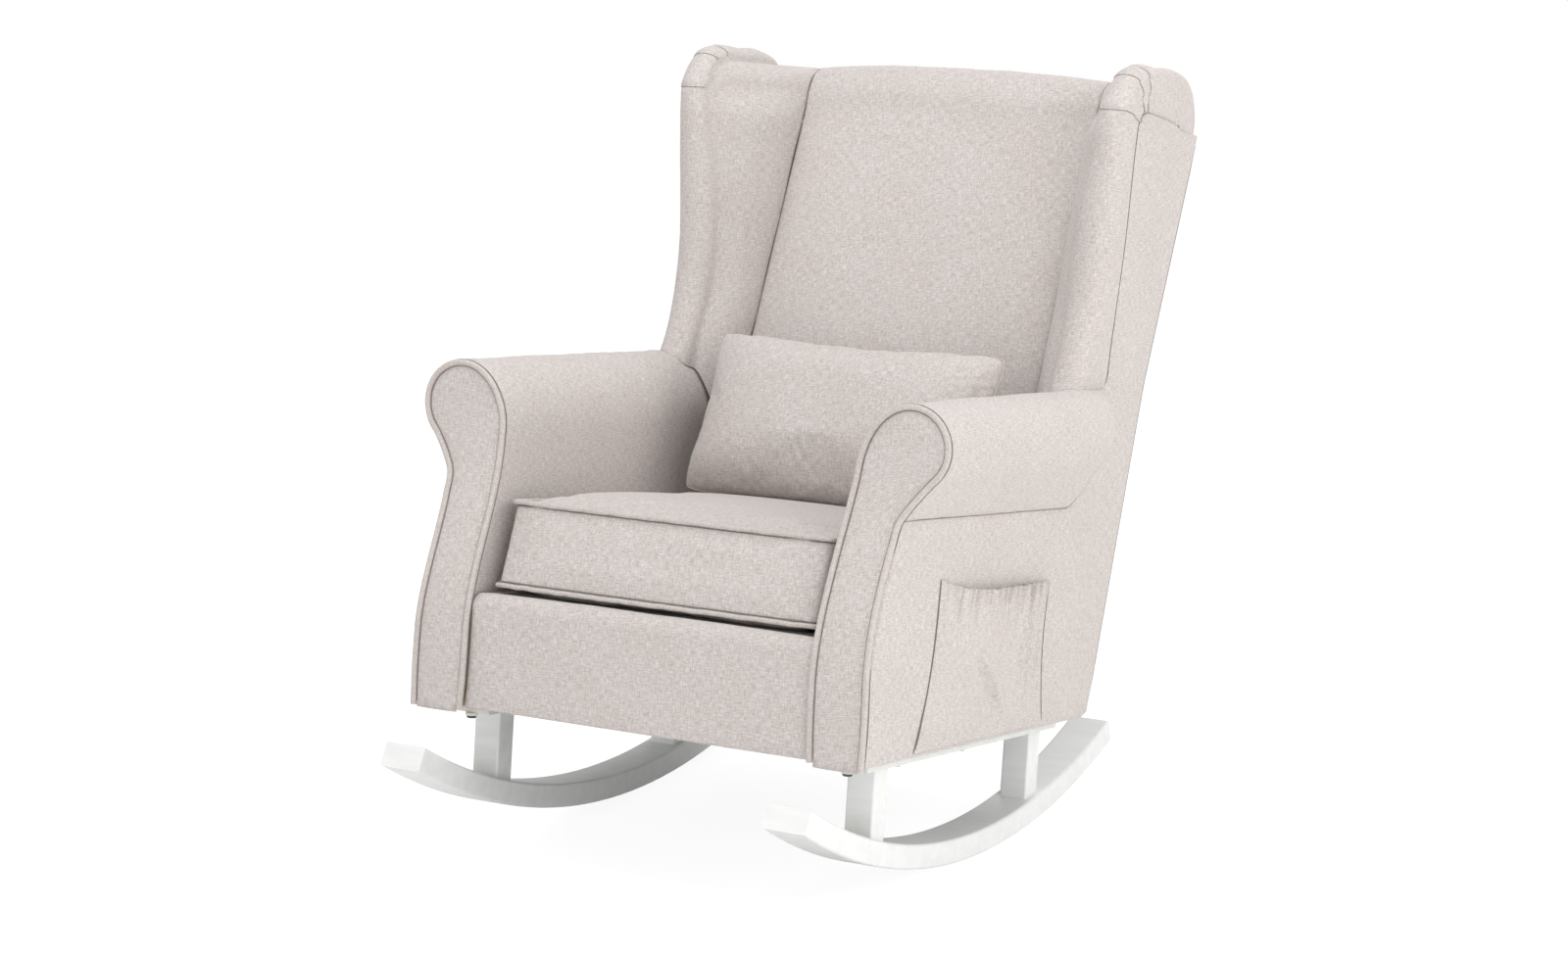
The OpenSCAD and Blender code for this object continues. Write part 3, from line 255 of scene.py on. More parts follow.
def make_object(name, verts, faces, uvs, mat, body):
    me = bpy.data.meshes.new(name)
    me.from_pydata(verts.tolist(), [], faces.tolist())
    layer = me.uv_layers.new(name="weave")
    layer.uv.foreach_set("vector", uvs.astype(np.float32).ravel())
    me.materials.append(mat)
    me.shade_smooth()
    me.update()
    ob = linked(name, me)
    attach(ob, body)
    return ob


def quads(rows, cols, closed):
    """Faces of a grid of points; a closed one joins its last column to the first."""
    a = (np.arange(rows - 1)[:, None] * cols + np.arange(cols if closed else cols - 1)).ravel()
    step = np.where(a % cols == cols - 1, 1 - cols, 1)
    return np.stack([a, a + step, a + cols + step, a + cols], -1)


def plain_grid(P, closed=False):
    return stand(P).reshape(-1, 3), quads(*P.shape[:2], closed)


def grid_parts(P, core, closed=False):
    """Points, outward faces and weave coordinates of a grid."""
    verts, faces = plain_grid(P, closed)
    away = P[1:-1, 1:-1] - np.asarray(core, float)
    if (normals(P)[1:-1, 1:-1] * away).sum() > 0:
        faces = faces[:, ::-1]
    uv = np.stack([lengths(P, 1).ravel(), lengths(P, 0).ravel()], -1) * 0.001
    return verts, faces, uv[faces.ravel()]


def cloth_grid(name, P, core, mat, side=1):
    """A piece of cloth on the chair; side -1 mirrors it."""
    parts = grid_parts(mirrored(P, side), mirrored(core, side))
    return make_object(name, *parts, mat, "chair")


def tube_parts(path, radius, sides=10, closed=False, bias=0.0):
    """A cord along a path; bias lays its weave at a slant."""
    path = np.asarray(path, float)
    count = len(path)
    radius = np.broadcast_to(np.asarray(radius, float), (count,))
    loop = np.roll(path, -1, 0) - np.roll(path, 1, 0)
    t = unit(loop if closed else np.gradient(path, axis=0))
    n = np.cross(t[0], [0.31, 0.22, 0.92])
    n /= np.linalg.norm(n)
    frames = []
    for k in range(count):
        n = n - t[k] * (n @ t[k])
        n /= np.linalg.norm(n)
        frames.append((n, np.cross(t[k], n)))
    N, B = np.array(frames).transpose(1, 0, 2)[:, :, None]
    ring = np.linspace(0, 2 * math.pi, sides, endpoint=False)[None, :, None]
    P = path[:, None] + radius[:, None, None] * (N * np.cos(ring) + B * np.sin(ring))
    along = np.linalg.norm(np.diff(path, axis=0), axis=1)
    along = np.concatenate([[0], np.cumsum(along)]) * 0.001
    along = np.append(along, along[-1] + 0.004)
    around = np.linspace(0, 2 * math.pi * float(radius.mean()) * 0.001, sides + 1)
    faces, uvs = [], []
    for i in range(count if closed else count - 1):
        j = (i + 1) % count
        for k in range(sides):
            m = (k + 1) % sides
            faces.append((i * sides + k, i * sides + m, j * sides + m, j * sides + k))
            for a, b in ((i, k), (i, k + 1), (i + 1, k + 1), (i + 1, k)):
                uvs.append((along[a] + around[b] * bias, around[b] - along[a] * bias))
    return stand(P).reshape(-1, 3), np.array(faces), np.array(uvs)


def join_parts(name, parts, mat, body="chair"):
    starts = np.cumsum([0] + [len(verts) for verts, _, _ in parts])
    faces = [faces + start for (_, faces, _), start in zip(parts, starts)]
    verts = np.concatenate([verts for verts, _, _ in parts])
    uvs = np.concatenate([uvs for _, _, uvs in parts])
    return make_object(name, verts, np.concatenate(faces), uvs, mat, body)


def declare(ob, node):
    """Hides the CAD node that a piece replaces."""
    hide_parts(node)


def cover(name, node, P, core, side=1):
    """A padded piece of linen that stands for a CAD node."""
    declare(cloth_grid(name, P, core, LINEN, side), node)


def configure(ob, **settings):
    for key, value in settings.items():
        setattr(ob, key, value)


# materials


def node_adder(owner):
    """Empties the node tree of a material or world and returns what adds nodes to it."""
    owner.use_nodes = True
    tree = owner.node_tree
    tree.nodes.clear()

    def add(kind, sockets=(), **named):
        """A node with its settings and sockets; a socket takes a value or another's link."""
        node = tree.nodes.new("ShaderNode" + kind)
        wanted = dict(sockets if isinstance(sockets, dict) else enumerate(sockets))
        for key, value in named.items():
            if hasattr(node, key):
                setattr(node, key, value)
            else:
                wanted[key.replace("_", " ")] = value
        for key, value in wanted.items():
            if isinstance(value, bpy.types.NodeSocket):
                tree.links.new(value, node.inputs[key])
            else:
                node.inputs[key].default_value = value
        return node

    return add


def linen(name, light, dark, tint, scale=1.0, bump=0.35, mottle=0.35):
    """Heathered plain weave: slubby threads in both directions, flecks and soft cloudiness."""
    mat = bpy.data.materials.new(name)
    add = node_adder(mat)
    uv = add("UVMap", uv_map="weave").outputs["UV"]

    def placed(sx, sy, shift=0.0):
        size, start = (sx * scale, sy * scale, 1), (shift, shift * 0.7, 0)
        return add("Mapping", Vector=uv, Scale=size, Location=start).outputs["Vector"]

    def noise(sx, sy, detail, rough, shift=0.0):
        place = placed(sx, sy, shift)
        node = add("TexNoise", Vector=place, Scale=1.0, Detail=detail, Roughness=rough)
        return node.outputs["Fac"]

    def maths(kind, a, b):
        return add("Math", (a, b), operation=kind).outputs[0]

    def ranged(value, **ends):
        return add("MapRange", Value=value, **ends).outputs["Result"]

    def blend(share, a, b, kind="MIX"):
        node = add("Mix", {0: share, 6: a, 7: b}, data_type="RGBA", blend_type=kind)
        return node.outputs[2]

    warp = noise(760, 95, 3, 0.6)
    weft = noise(95, 760, 3, 0.6, 3.1)
    fleck = noise(420, 420, 2, 0.7, 7.7)
    cloud = noise(11, 14, 4, 0.55, 1.9)
    threads = maths("ADD", maths("MULTIPLY", warp, 0.5), maths("MULTIPLY", weft, 0.5))
    colour = blend(ranged(threads, From_Min=0.40, From_Max=0.60), (*dark, 1), (*light, 1))
    spots = ranged(fleck, From_Min=0.56, From_Max=0.70, To_Max=0.55)
    colour = blend(spots, colour, (*tint, 1))
    haze = ranged(cloud, From_Min=0.35, From_Max=0.70, To_Max=mottle)
    colour = blend(haze, colour, (0.93, 0.88, 0.87, 1), "MULTIPLY")

    weave = add("TexWave", Vector=placed(260, 260), Scale=1.0, bands_direction="DIAGONAL")
    height = maths("ADD", threads, maths("MULTIPLY", weave.outputs["Fac"], 0.12))
    rise = add("Bump", Strength=bump, Distance=0.0012, Height=height)
    rough = ranged(fleck, To_Min=0.82, To_Max=0.97)
    skin = add(
        "BsdfPrincipled", Base_Color=colour, Roughness=rough, Normal=rise.outputs["Normal"],
        Specular_IOR_Level=0.18, Sheen_Weight=0.22, Sheen_Roughness=0.45,
        Sheen_Tint=(1.0, 0.97, 0.95, 1),
    )
    add("OutputMaterial", Surface=skin.outputs[0])
    return mat


def hard(name, light, dark, grain, bump, roughness, metallic=0.0, coat=0.0):
    """Painted or bare wood and plain metal, patterned in the object's own coordinates."""
    mat = bpy.data.materials.new(name)
    add = node_adder(mat)
    own = add("TexCoord").outputs["Object"]
    place = add("Mapping", Vector=own, Scale=grain).outputs["Vector"]
    pattern = add("TexNoise", Vector=place, Scale=1.0, Detail=5.0, Roughness=0.6).outputs["Fac"]
    ramp = add("ValToRGB", Fac=pattern)
    for end, at, colour in zip(ramp.color_ramp.elements, (0.36, 0.62), (dark, light)):
        end.position = at
        end.color = (*colour, 1)
    fine = add("TexNoise", Vector=own, Scale=170.0, Detail=3.0).outputs["Fac"]
    both = add("Math", (fine, 0.35, pattern), operation="MULTIPLY_ADD").outputs[0]
    rise = add("Bump", Strength=bump, Distance=0.0006, Height=both)
    rough = add("MapRange", Value=pattern, To_Min=roughness[0], To_Max=roughness[1])
    skin = add(
        "BsdfPrincipled", Base_Color=ramp.outputs["Color"], Roughness=rough.outputs["Result"],
        Normal=rise.outputs["Normal"], Metallic=metallic, Coat_Weight=coat, Coat_Roughness=0.25,
    )
    add("OutputMaterial", Surface=skin.outputs[0])
    return mat


LINEN = linen("linen", (0.655, 0.622, 0.605), (0.44, 0.40, 0.382), (0.35, 0.31, 0.295))
PIPING = linen(
    "piping_linen", (0.645, 0.61, 0.59), (0.43, 0.39, 0.37), (0.34, 0.30, 0.285), 1.2, 0.3
)
# a dark copy of the linen: painted shade for the lines sunk along the seams and the pleat
# creases
SEAM_SHADE = linen(
    "painted_seam_shade", (0.30, 0.265, 0.25), (0.18, 0.155, 0.145), (0.13, 0.11, 0.10), 2.0, 0.2
)
DECK = linen("deck_linen", (0.58, 0.55, 0.535), (0.41, 0.37, 0.355), (0.32, 0.285, 0.27))
DARK = linen(
    "dark_cloth", (0.035, 0.035, 0.038), (0.018, 0.018, 0.02), (0.05, 0.05, 0.055), 0.7, 0.5
)
PAINT = hard(
    "white_paint", (0.775, 0.79, 0.785), (0.725, 0.74, 0.735), (9, 60, 60), 0.10, (0.30, 0.42),
    coat=0.15,
)
TIMBER = hard(
    "sawn_timber", (0.62, 0.44, 0.26), (0.45, 0.29, 0.15), (8, 70, 70), 0.4, (0.6, 0.8)
)
DARK_STEEL = hard(
    "dark_steel", (0.12, 0.12, 0.125), (0.08, 0.08, 0.085), (240, 240, 60), 0.15, (0.35, 0.5),
    metallic=0.8,
)
STEEL = hard(
    "zinc_steel", (0.52, 0.53, 0.55), (0.40, 0.41, 0.43), (240, 240, 60), 0.15, (0.28, 0.45),
    metallic=1.0,
)

# the CAD nodes that stay in view or inside, with or without a side in their names
CAD_LOOKS = (
    (PAINT, "rocker front_leg rear_leg mounting_rail"),
    (TIMBER, "sole_board front_seat_rail rear_seat_rail side_seat_rails arm_board"),
    (TIMBER, "roll_former wing_board back_post back_top_rail back_lower_rail"),
    (STEEL, "leg_screws rail_bolts seat_springs spring_clips"),
)
for mat, names in CAD_LOOKS:
    for word in names.split():
        for node in (word, word + "_left", word + "_right"):
            if node in frame["nodes"]:
                cad = frame["nodes"][node]
                cad.data.materials.clear()
                cad.data.materials.append(mat)

# dark tubes of painted shade that lie in the seam grooves and the pleat creases
SHADE_LINES = []


def shade_line(path, r, side=1):
    """A dark line of painted shade sunk along a seam or a pleat's crease, thinning out at its
    ends; side -1 mirrors it.
    """
    n = len(path)
    ends = np.minimum(np.arange(n), np.arange(n)[::-1])
    r = r * np.clip(ends / (0.06 * n) + 0.25, 0.2, 1)
    SHADE_LINES.append(tube_parts(mirrored(path, side), r, 6))


def word_of(side):
    return "right" if side > 0 else "left"


# rolled arms

WALL_STEPS, RISE_STEPS = 14, 18


def roll_section(foot):
    """Front view of an arm from the seat over the roll to the seam under it."""
    wall = [(SEAT + 4 * s, mix(foot, WALL_TOP, s)) for s in np.linspace(0, 0.97, WALL_STEPS)]
    over = arc(*RISE, 180, 94, RISE_STEPS)
    roll = arc(*ROLL, 88, -50, 34)
    neck = [roll[-1], (340.1, 484.0), (330.1, 469.8), (HALF, UNDER_ARM)]
    return np.concatenate([wall, over, roll, spline(neck, np.linspace(0.25, 3, 10))])


def arm(side):
    word = word_of(side)
    crest = WALL_STEPS + RISE_STEPS
    rows = []
    for s in np.concatenate([[0, 0.008, 0.02], np.linspace(0.04, 1, 44)]):
        x, z = roll_section(deck_z(mix(-340, ROLL_TURN, s)) - 8).T
        rows.append(points(x, mix(front_y(z) + 1.5, ROLL_TURN, s), z))
    # the roll narrows and dies into the outside cover
    for a in np.radians(np.linspace(3, 90, 26)):
        y = mix(ROLL_TURN, ROLL_END, math.sin(a))
        x, z = roll_section(deck_z(y) - 8).T
        x = np.where(x > HALF, HALF + (x - HALF) * max(math.cos(a), 0), x)
        rows.append(points(x, y, z))
    x, z = roll_section(deck_z(DECK_REAR) - 8).T
    beyond = np.arange(len(x)) >= crest
    rows.append(points(np.minimum(x, HALF), np.where(beyond, ROLL_END + 1.5, 330), z))
    P = np.array(rows)
    low = (P[..., 2] < ROLL_Z) & (np.arange(len(x))[None, :] > crest)
    z = ROLL_Z - (ROLL_Z - P[..., 2]) * (ROLL_Z - seam_z(P[..., 1])) / (ROLL_Z - UNDER_ARM)
    P[..., 2] = np.where(low, z, P[..., 2])
    core = (ROLL_X - 8, 0, 480)
    out = outward(P, core)
    # the cover is drawn in towards the piping, and lies a little uneven along the roll
    s = np.clip((P[..., 1] - front_y(P[..., 2])) / 12, 0, 1)
    push = -2.2 * (1 - s) ** 2
    push = push + 0.9 * wave_noise(P, 160, 5) * ease(s)
    on_roll = ease((P[..., 2] - 500) / 40)
    push = push + 0.5 * wave_noise(P * [1, 2.2, 1], 60, 6) * on_roll
    P = P + out * push[..., None]
    hem = P[:, -1:] + (-6.0, 0, -1.0)
    foot = P[:, :1] + (2.0, 0, -10.0)
    P = np.concatenate([foot, P, hem], 1)
    cover("arm_cover_" + word, "arm_" + word, P, core, side)
    # painted shade: a dark line along the seam under the roll
    shade_line(P[:-4, -2] + (0.3, 0, 0.2), 0.65, side)


# front view of the arm front's edges, up the inside and down the outside
INNER_EDGE = (
    (245, 166), (243, 204), (241.8, 282), (242, 360), (243.5, 430), (246.5, 480), (249, WALL_TOP)
)
OUTER_EDGE = (
    (341, 485), (331.5, 471), (324, 458), (320.8, 430), (319.2, 395),
    (319, 350), (320.5, 300), (322.2, 255), (323, 215), (322, 163),
)


def front_outline():
    """The scroll and S-shaped edge of an arm front, from its inner foot round to the outer."""
    roll = arc(*ROLL, 88, -48, 40)
    inner, outer = smooth_path(INNER_EDGE, 40), smooth_path([roll[-1], *OUTER_EDGE], 60)
    x, z = np.concatenate([inner[:-1], arc(*RISE, 176, 92, 24), roll[:-1], outer]).T
    return points(x, 0.0, z)


def inset_path(path, d):
    t = np.gradient(path, axis=0)
    return path + unit(points(t[:, 2], 0.0, -t[:, 0])) * d


def edge_path(line, d, shift, n):
    """A line that runs inside the arm front's edge, on its swept face or beside it."""
    path = inset_path(line, d)
    path[:, 1] = front_y(path[:, 2]) + shift
    return smooth_path(path, n)


def arm_front(side):
    word = word_of(side)
    line = front_outline()
    seam = inset_path(line, 8.6)
    top = int(np.argmax(seam[:, 2]))
    left, right = seam[: top + 1], seam[top:][::-1]
    z0, z1 = 161.0, seam[top, 2] - 0.05
    zs = z1 - (z1 - z0) * (1 - np.cos(np.linspace(0, math.pi / 2, 90))) ** 1.25
    xi = np.interp(zs, np.maximum.accumulate(left[:, 2]), left[:, 0])[:, None]
    xo = np.interp(zs, np.maximum.accumulate(right[:, 2]), right[:, 0])[:, None]
    u, Z = crowded(25, 1.4), zs[:, None]
    X = (xi + xo) / 2 + (xo - xi) / 2 * u
    edge = np.minimum((xo - xi) / 2 * (1 - np.abs(u)), (z1 - Z) * 1.4 + 1.0)
    inside = 1 - np.exp(-edge / 9.0)
    P = points(X, front_y(Z) - 0.6 - 3.2 * inside, Z)
    P[..., 1] -= 0.6 * wave_noise(P, 110, 11 + side) * inside
    P = np.concatenate([P, P[-1:] + (0, 9, -1.5)])
    cover("arm_front_cover_" + word, "arm_front_" + word, P, (285, -200, 380), side)
    centre = edge_path(line, 4.2, -1.6, 420)
    r = 3.9 + 0.14 * wave_noise(centre, 22, 21 + side, 2)
    cord = tube_parts(mirrored(centre, side), r, 12, bias=0.9)
    cord = join_parts("arm_piping_cord_" + word, [cord], PIPING)
    declare(cord, "arm_piping_" + word)
    # painted shade: dark lines along both sides of the piping
    shade_line(edge_path(line, 8.5, -1.5, 300), 0.7, side)
    shade_line(edge_path(line, 0.5, 2.0, 300), 0.6, side)


# wings

CORNER = (WING_FRONT + CORNER_R, WING_TOP - CORNER_R)
SHOULDER = (rear_y(SHOULDER_Z) - SHOULDER_R / math.cos(BACK_RAKE), SHOULDER_Z)
WING_CORE = (HALF - 30, 380, 820)
FOOT_ROWS = (0, 0.07, 0.17, 0.31, 0.5, 0.7, 0.86, 1)
FOOT_FULL = (1, 1, 1.04, 1.1, 1.14, 1.08, 0.96, 0.86)
THICK, THIN = 51.0, 40.8
STRIP, STRIP_FOOT = 62.0, 91.0
# control row and height of each pleat round the wing's head
PLEATS = ((11.0, 2.4), (9.75, 2.8), (8.15, 2.2))


def wing_edge_y(z):
    return WING_FRONT - 44 * max(0, 1 - (z - ARM_TOP) / 170) ** 2


def roll_edge(deg):
    """Where the back pad's head stands, from its rear (0) over the top to its front (180)."""
    a = math.radians(deg)
    front, rear = pad_line_y(PAD_TOP), rear_y(PANEL_TOP)
    mid = (front + rear) / 2
    return (mid + (rear - mid) * math.cos(a), PAD_TOP + PAD_HEAD * math.sin(a))


def arm_crest(x):
    if x < SEAT + 4:
        return WALL_TOP
    if x < ROLL_X:
        return WALL_TOP + ROLL_H * math.sqrt(1 - ((ROLL_X - x) / ROLL_W) ** 2)
    return ROLL_Z + math.sqrt(ROLL_R**2 - (x - ROLL_X) ** 2)


def strip_width(z):
    """The outer seam keeps behind the roll at the wing's foot, and runs with the edge above."""
    return STRIP + (STRIP_FOOT - STRIP) * (1 - ease((z - ARM_TOP) / 95))


def wing_rows():
    """Rows of (edge place, way inwards, thickness, root place, bulge, outer strip's width)."""
    rows = []
    for s, full in zip(FOOT_ROWS, FOOT_FULL):
        z = mix(ARM_TOP, CORNER[1], s)
        root_z = WALL_TOP if s == 0 else z
        root = (pad_line_y(root_z), root_z)
        rows.append(((wing_edge_y(z), z), (1, 0), THICK * full, root, 9.0, strip_width(z)))

    def turn(centre, radius, table):
        for a, b, width in table:
            c, s = math.cos(math.radians(a)), math.sin(math.radians(a))
            edge = (centre[0] + radius * c, centre[1] + radius * s)
            rows.append((edge, (-c, -s), THIN, roll_edge(b), 0, width))

    head = ((162, 172), (135, 158), (108, 145), (90, 135))
    turn(CORNER, CORNER_R, [(*angles, STRIP) for angles in head])
    middle = ((CORNER[0] + SHOULDER[0]) / 2, WING_TOP)
    rows.append((middle, (0, -1), THIN, roll_edge(118), 0, 68))
    turn(SHOULDER, SHOULDER_R, ((90, 100, 76), (65, 70, 76), (40, 40, 75), (15, 12, 74)))
    rear = (rear_y(PANEL_TOP), PANEL_TOP)
    rows.append((rear, (-math.cos(BACK_RAKE), math.sin(BACK_RAKE)), THIN, rear, 0, 73))
    return rows


def wing_grid():
    """Control points: each row from the root, over the rounded edge, to the outer seam."""
    grid = []
    for i, (edge, way, t, root, bulge, strip) in enumerate(wing_rows()):

        def spot(x, d):
            y, z = edge[0] + way[0] * d, edge[1] + way[1] * d
            return np.array([x + max(z - ARM_TOP, 0) * SPLAY, y, z])

        n = spot(HALF - t, t / 2)
        k = np.array([PAD_HALF + 0.3, *root])
        v = n - k
        q = np.array([-abs(v[1]), -abs(v[0]), 0])
        q = q / max(np.linalg.norm(q), 1e-9)
        line = [mix(k, n, s) + bulge * math.sin(math.pi * s) * q for s in (0, 0.3, 0.6, 0.85)]
        for b in np.radians((0, 30, 60, 90, 120, 150, 180)):
            line.append(spot(HALF - t / 2 - t / 2 * math.cos(b), t / 2 * (1 - math.sin(b))))
        line += [spot(HALF, mix(t / 2, strip, s)) for s in (0.5, 1)]
        if i == 0:
            # the foot stands on the arm's crest
            for p in line:
                p[2] = arm_crest(min(p[0] + 7, ROLL_X) if p[0] < ROLL_X else p[0]) + 0.6
        grid.append(line)
    return np.array(grid)


def wing(side):
    word = word_of(side)
    control = wing_grid()
    P, at_rows, at_cols = smooth_grid(control, 190, 84)
    out = outward(P, WING_CORE)
    index, reach = np.arange(len(control)), chords(control, 0)
    t = np.interp(at_rows, index, reach)
    push = 0.8 * wave_noise(P, 140, 31 + side)
    across = ease((at_cols - 3.6) / 1.4)
    bend = 5.0 * np.sin((at_cols - 4) * 0.5) * across
    pleats = [(np.interp(row, index, reach), height) for row, height in PLEATS]
    for at, height in pleats:
        s = (t[:, None] - at) + bend
        fold = np.where(s > 0, np.exp(-s / 15), 0.12 * np.exp(s / 4)) * height
        push = push + fold * across - 1.4 * hill(s + 0.6, 1.6) * across
    # dimples where the wing's foot is pulled down behind the arm
    foot = hill(P[..., 2] - ARM_TOP, 26)
    push = push + foot * 1.6 * wave_noise(P * [1, 1, 0.4], 34, 41 + side, 2)
    # both long edges are drawn in towards their seams
    push = push - 1.6 * hill(at_cols[-1] - at_cols, 0.13)
    push = push - 1.0 * hill(at_cols, 0.25)
    Q = P + out * push[..., None]
    # painted shade: a dark line in each pleat's crease
    for at, _ in pleats:
        fold = []
        for c in np.where(at_cols > 4.4)[0]:
            want = np.interp(at - bend[c] - 0.8, t, np.arange(len(t)))
            i = int(want)
            fold.append(mix(Q[i, c], Q[min(i + 1, len(t) - 1), c], want - i))
        shade_line(smooth_path(fold, 60), 0.55, side)
    hem = Q[:, -1:] - out[:, -1:] * 7.0
    root = Q[:, :1] - out[:, :1] * 7.0
    full = np.concatenate([root, Q, hem], 1)
    full = np.concatenate([full[:1] - (0, 0, 5.0), full])
    cover("wing_cover_" + word, "wing_" + word, full, WING_CORE, side)
    last = int(np.searchsorted(at_rows, 16.6))
    # painted shade: dark lines along the outer seam and the root seam
    shade_line(Q[2:, -1] + (0.5, 0.3, 0), 0.65, side)
    shade_line(Q[12:last, 0] - out[12:last, 0] * 0.5, 0.7, side)
    return Q[:, -1], at_rows


# padded back

# start height and slope of the fine pulls that fan from the back's lower crease
PULLS = ((470, 0.25), (520, 0.32), (590, 0.22), (700, 0.18), (830, 0.12))


def fullness(s):
    """Share of the back pad's swell, from its foot (0) to its head (1)."""
    if s < 0.2:
        return mix(0.1, 0.5, s / 0.2)
    if s < 0.45:
        return mix(0.5, 1, math.sin(math.pi / 2 * (s - 0.2) / 0.25))
    return mix(1, 0.42, ease((s - 0.6) / 0.4))


def back_pad():
    cols = np.array([0.12, 0.36, 0.62, 0.82, 0.93, 0.985, 1])
    cols = np.concatenate([-cols[::-1], cols])
    core = (0, 480, 640)
    swell = PAD_SWELL * (1 - np.abs(cols) ** 3.2)
    foot = deck_z(DECK_REAR) + 1
    grid = []
    for s in (0, 0.09, 0.2, 0.29, 0.33, 0.45, 0.6, 0.76, 0.88, 0.97):
        z = mix(foot, PAD_TOP, s)
        w = 241.7 if z < 458 else PAD_HALF
        c = fullness(s) * swell
        y = pad_line_y(z) - c * math.cos(PAD_RAKE)
        grid.append(points(w * cols, y, z + c * math.sin(PAD_RAKE)))
    for a in (155, 130, 105, 80, 50, 20, 0):
        y, z = roll_edge(a)
        c = mix(0.06, 0.4, ease((a - 30) / 125)) * swell
        d = math.radians(max(a, 90))
        y, z = y + c * math.cos(d) * (a > 90), z + c * math.sin(d) * (a > 20)
        grid.append(points(PAD_HALF * cols, y, z))
    grid.append(points(PAD_HALF * cols, rear_y(PANEL_TOP), PANEL_TOP))
    P = smooth_grid(np.array(grid), 170, 110)[0]
    out = outward(P, core)
    inside = 1 - np.abs(np.linspace(-1, 1, 110)) ** 6
    push = 1.5 * wave_noise(P * [0.7, 1, 1], 210, 51) * inside
    push = push + 0.5 * wave_noise(P, 60, 52) * inside
    for s in (-1, 1):
        along = PAD_HALF - s * P[..., 0]
        for k, (z0, slope) in enumerate(PULLS):
            pull = hill(P[..., 2] - (z0 + along * slope), 7)
            push = push + 0.9 * pull * np.exp(-along / (30 + 6 * k)) * ease(along / 6)
    P = P + out * push[..., None]
    hems = P[:, :1] + (-1.0, 10, 0), P[:, -1:] + (1.0, 10, 0)
    cover("back_cover", "back_pad", np.concatenate([hems[0], P, hems[1]], 1), core)


# outside covers, apron and deck

REAR_FOOT_R = 25.0
SIDE_ROWS, SIDE_SEAM = 60, 293.0


def side_cover(side, strip, strip_rows):
    """The outside cover in two panels, A under the arm and B up behind the wing."""
    word = word_of(side)
    u, v = np.linspace(0, 1, 90), np.linspace(0, 1, SIDE_ROWS)[:, None]
    y = mix(FRONT, SIDE_SEAM, u)
    z = mix(under(y), seam_z(y) - 0.6, v)
    y = mix(front_y(z) + 2.0, SIDE_SEAM, u)
    A = points(HALF, y, mix(under(y), seam_z(y) - 0.6, v))

    # panel B runs from the wing's outer seam to the rear edge
    line = strip[strip_rows < 16.9]
    turn = int(np.argmax(line[:, 2]))
    wing_y, wing_z = line[: turn + 1, 1], line[: turn + 1, 2]
    order = np.argsort(wing_z)
    back = line[turn:]
    back = back[np.argsort(back[:, 2])]
    foot_z = under(REAR) + REAR_FOOT_R
    foot_y = rear_y(foot_z) - REAR_FOOT_R / math.cos(BACK_RAKE)
    z_low = A[:, -1, 2]
    rows = []
    for z in np.concatenate([z_low, np.linspace(z_low[-1], line[turn, 2] - 0.5, 76)[1:]]):
        y0 = SIDE_SEAM
        if z >= 604:
            y0 = np.interp(z, wing_z[order], wing_y[order]) + 0.6
        y1 = rear_y(z)
        if z < foot_z:
            y1 = foot_y + math.sqrt(max(REAR_FOOT_R**2 - (foot_z - z) ** 2, 0))
        if z > line[-1, 2]:
            y1 = min(y1, np.interp(z, back[:, 2], back[:, 1]))
        y = mix(y0, max(y1, y0 + 0.1), np.linspace(0, 1, 40))
        rows.append(points(splayed_x(z), y, z))
    B = np.array(rows)

    core = mirrored((HALF - 60, 100, 400), side)
    parts = []
    for G, inner in (
        (A, seam_z(A[..., 1]) - A[..., 2]),
        (B, np.maximum(B[..., 1] - B[:, :1, 1], 513 - B[..., 2])),
    ):
        y, z = G[..., 1], G[..., 2]
        edges = [y - front_y(z), z - under(y), rear_y(z) - y, inner]
        depth = np.clip(np.minimum.reduce(edges), 0, 60)
        puff = 2.6 * (1 - np.exp(-depth / 16)) - 1.4 * np.exp(-depth / 3)
        G[..., 0] += puff + 0.8 * wave_noise(G, 190, 61 + side) * ease(depth / 50)
        parts.append(grid_parts(mirrored(G, side), core))
    # the second panel is cut from another part of the cloth
    verts, faces, uvs = parts[1]
    parts[1] = verts, faces, uvs + (0.33, 0.05)
    # hems turned in at both feet, the inner edge, the head, the rear and the front
    for rim, step, axis, order in (
        (A[:1], (-9.0, 0, 2.0), 0, 1),
        (B[:1], (-9.0, 0, 2.0), 0, 1),
        (B[SIDE_ROWS - 1 :, :1], (-7.0, -1.5, 0), 1, -1),
        (B[-1:], (-7.0, 0, 1.5), 0, 1),
        (B[:, -1:], (-6.0, 1.0, 0), 1, 1),
        (A[:, :1], (-5.0, -2.5, 0), 1, 1),
    ):
        hem = np.concatenate([rim, rim + step][::order], axis)
        parts.append(grid_parts(mirrored(hem, side), core))
    ob = join_parts("side_cover_" + word, parts, LINEN)
    declare(ob, "side_panel_" + word)
    return B[:, -1]


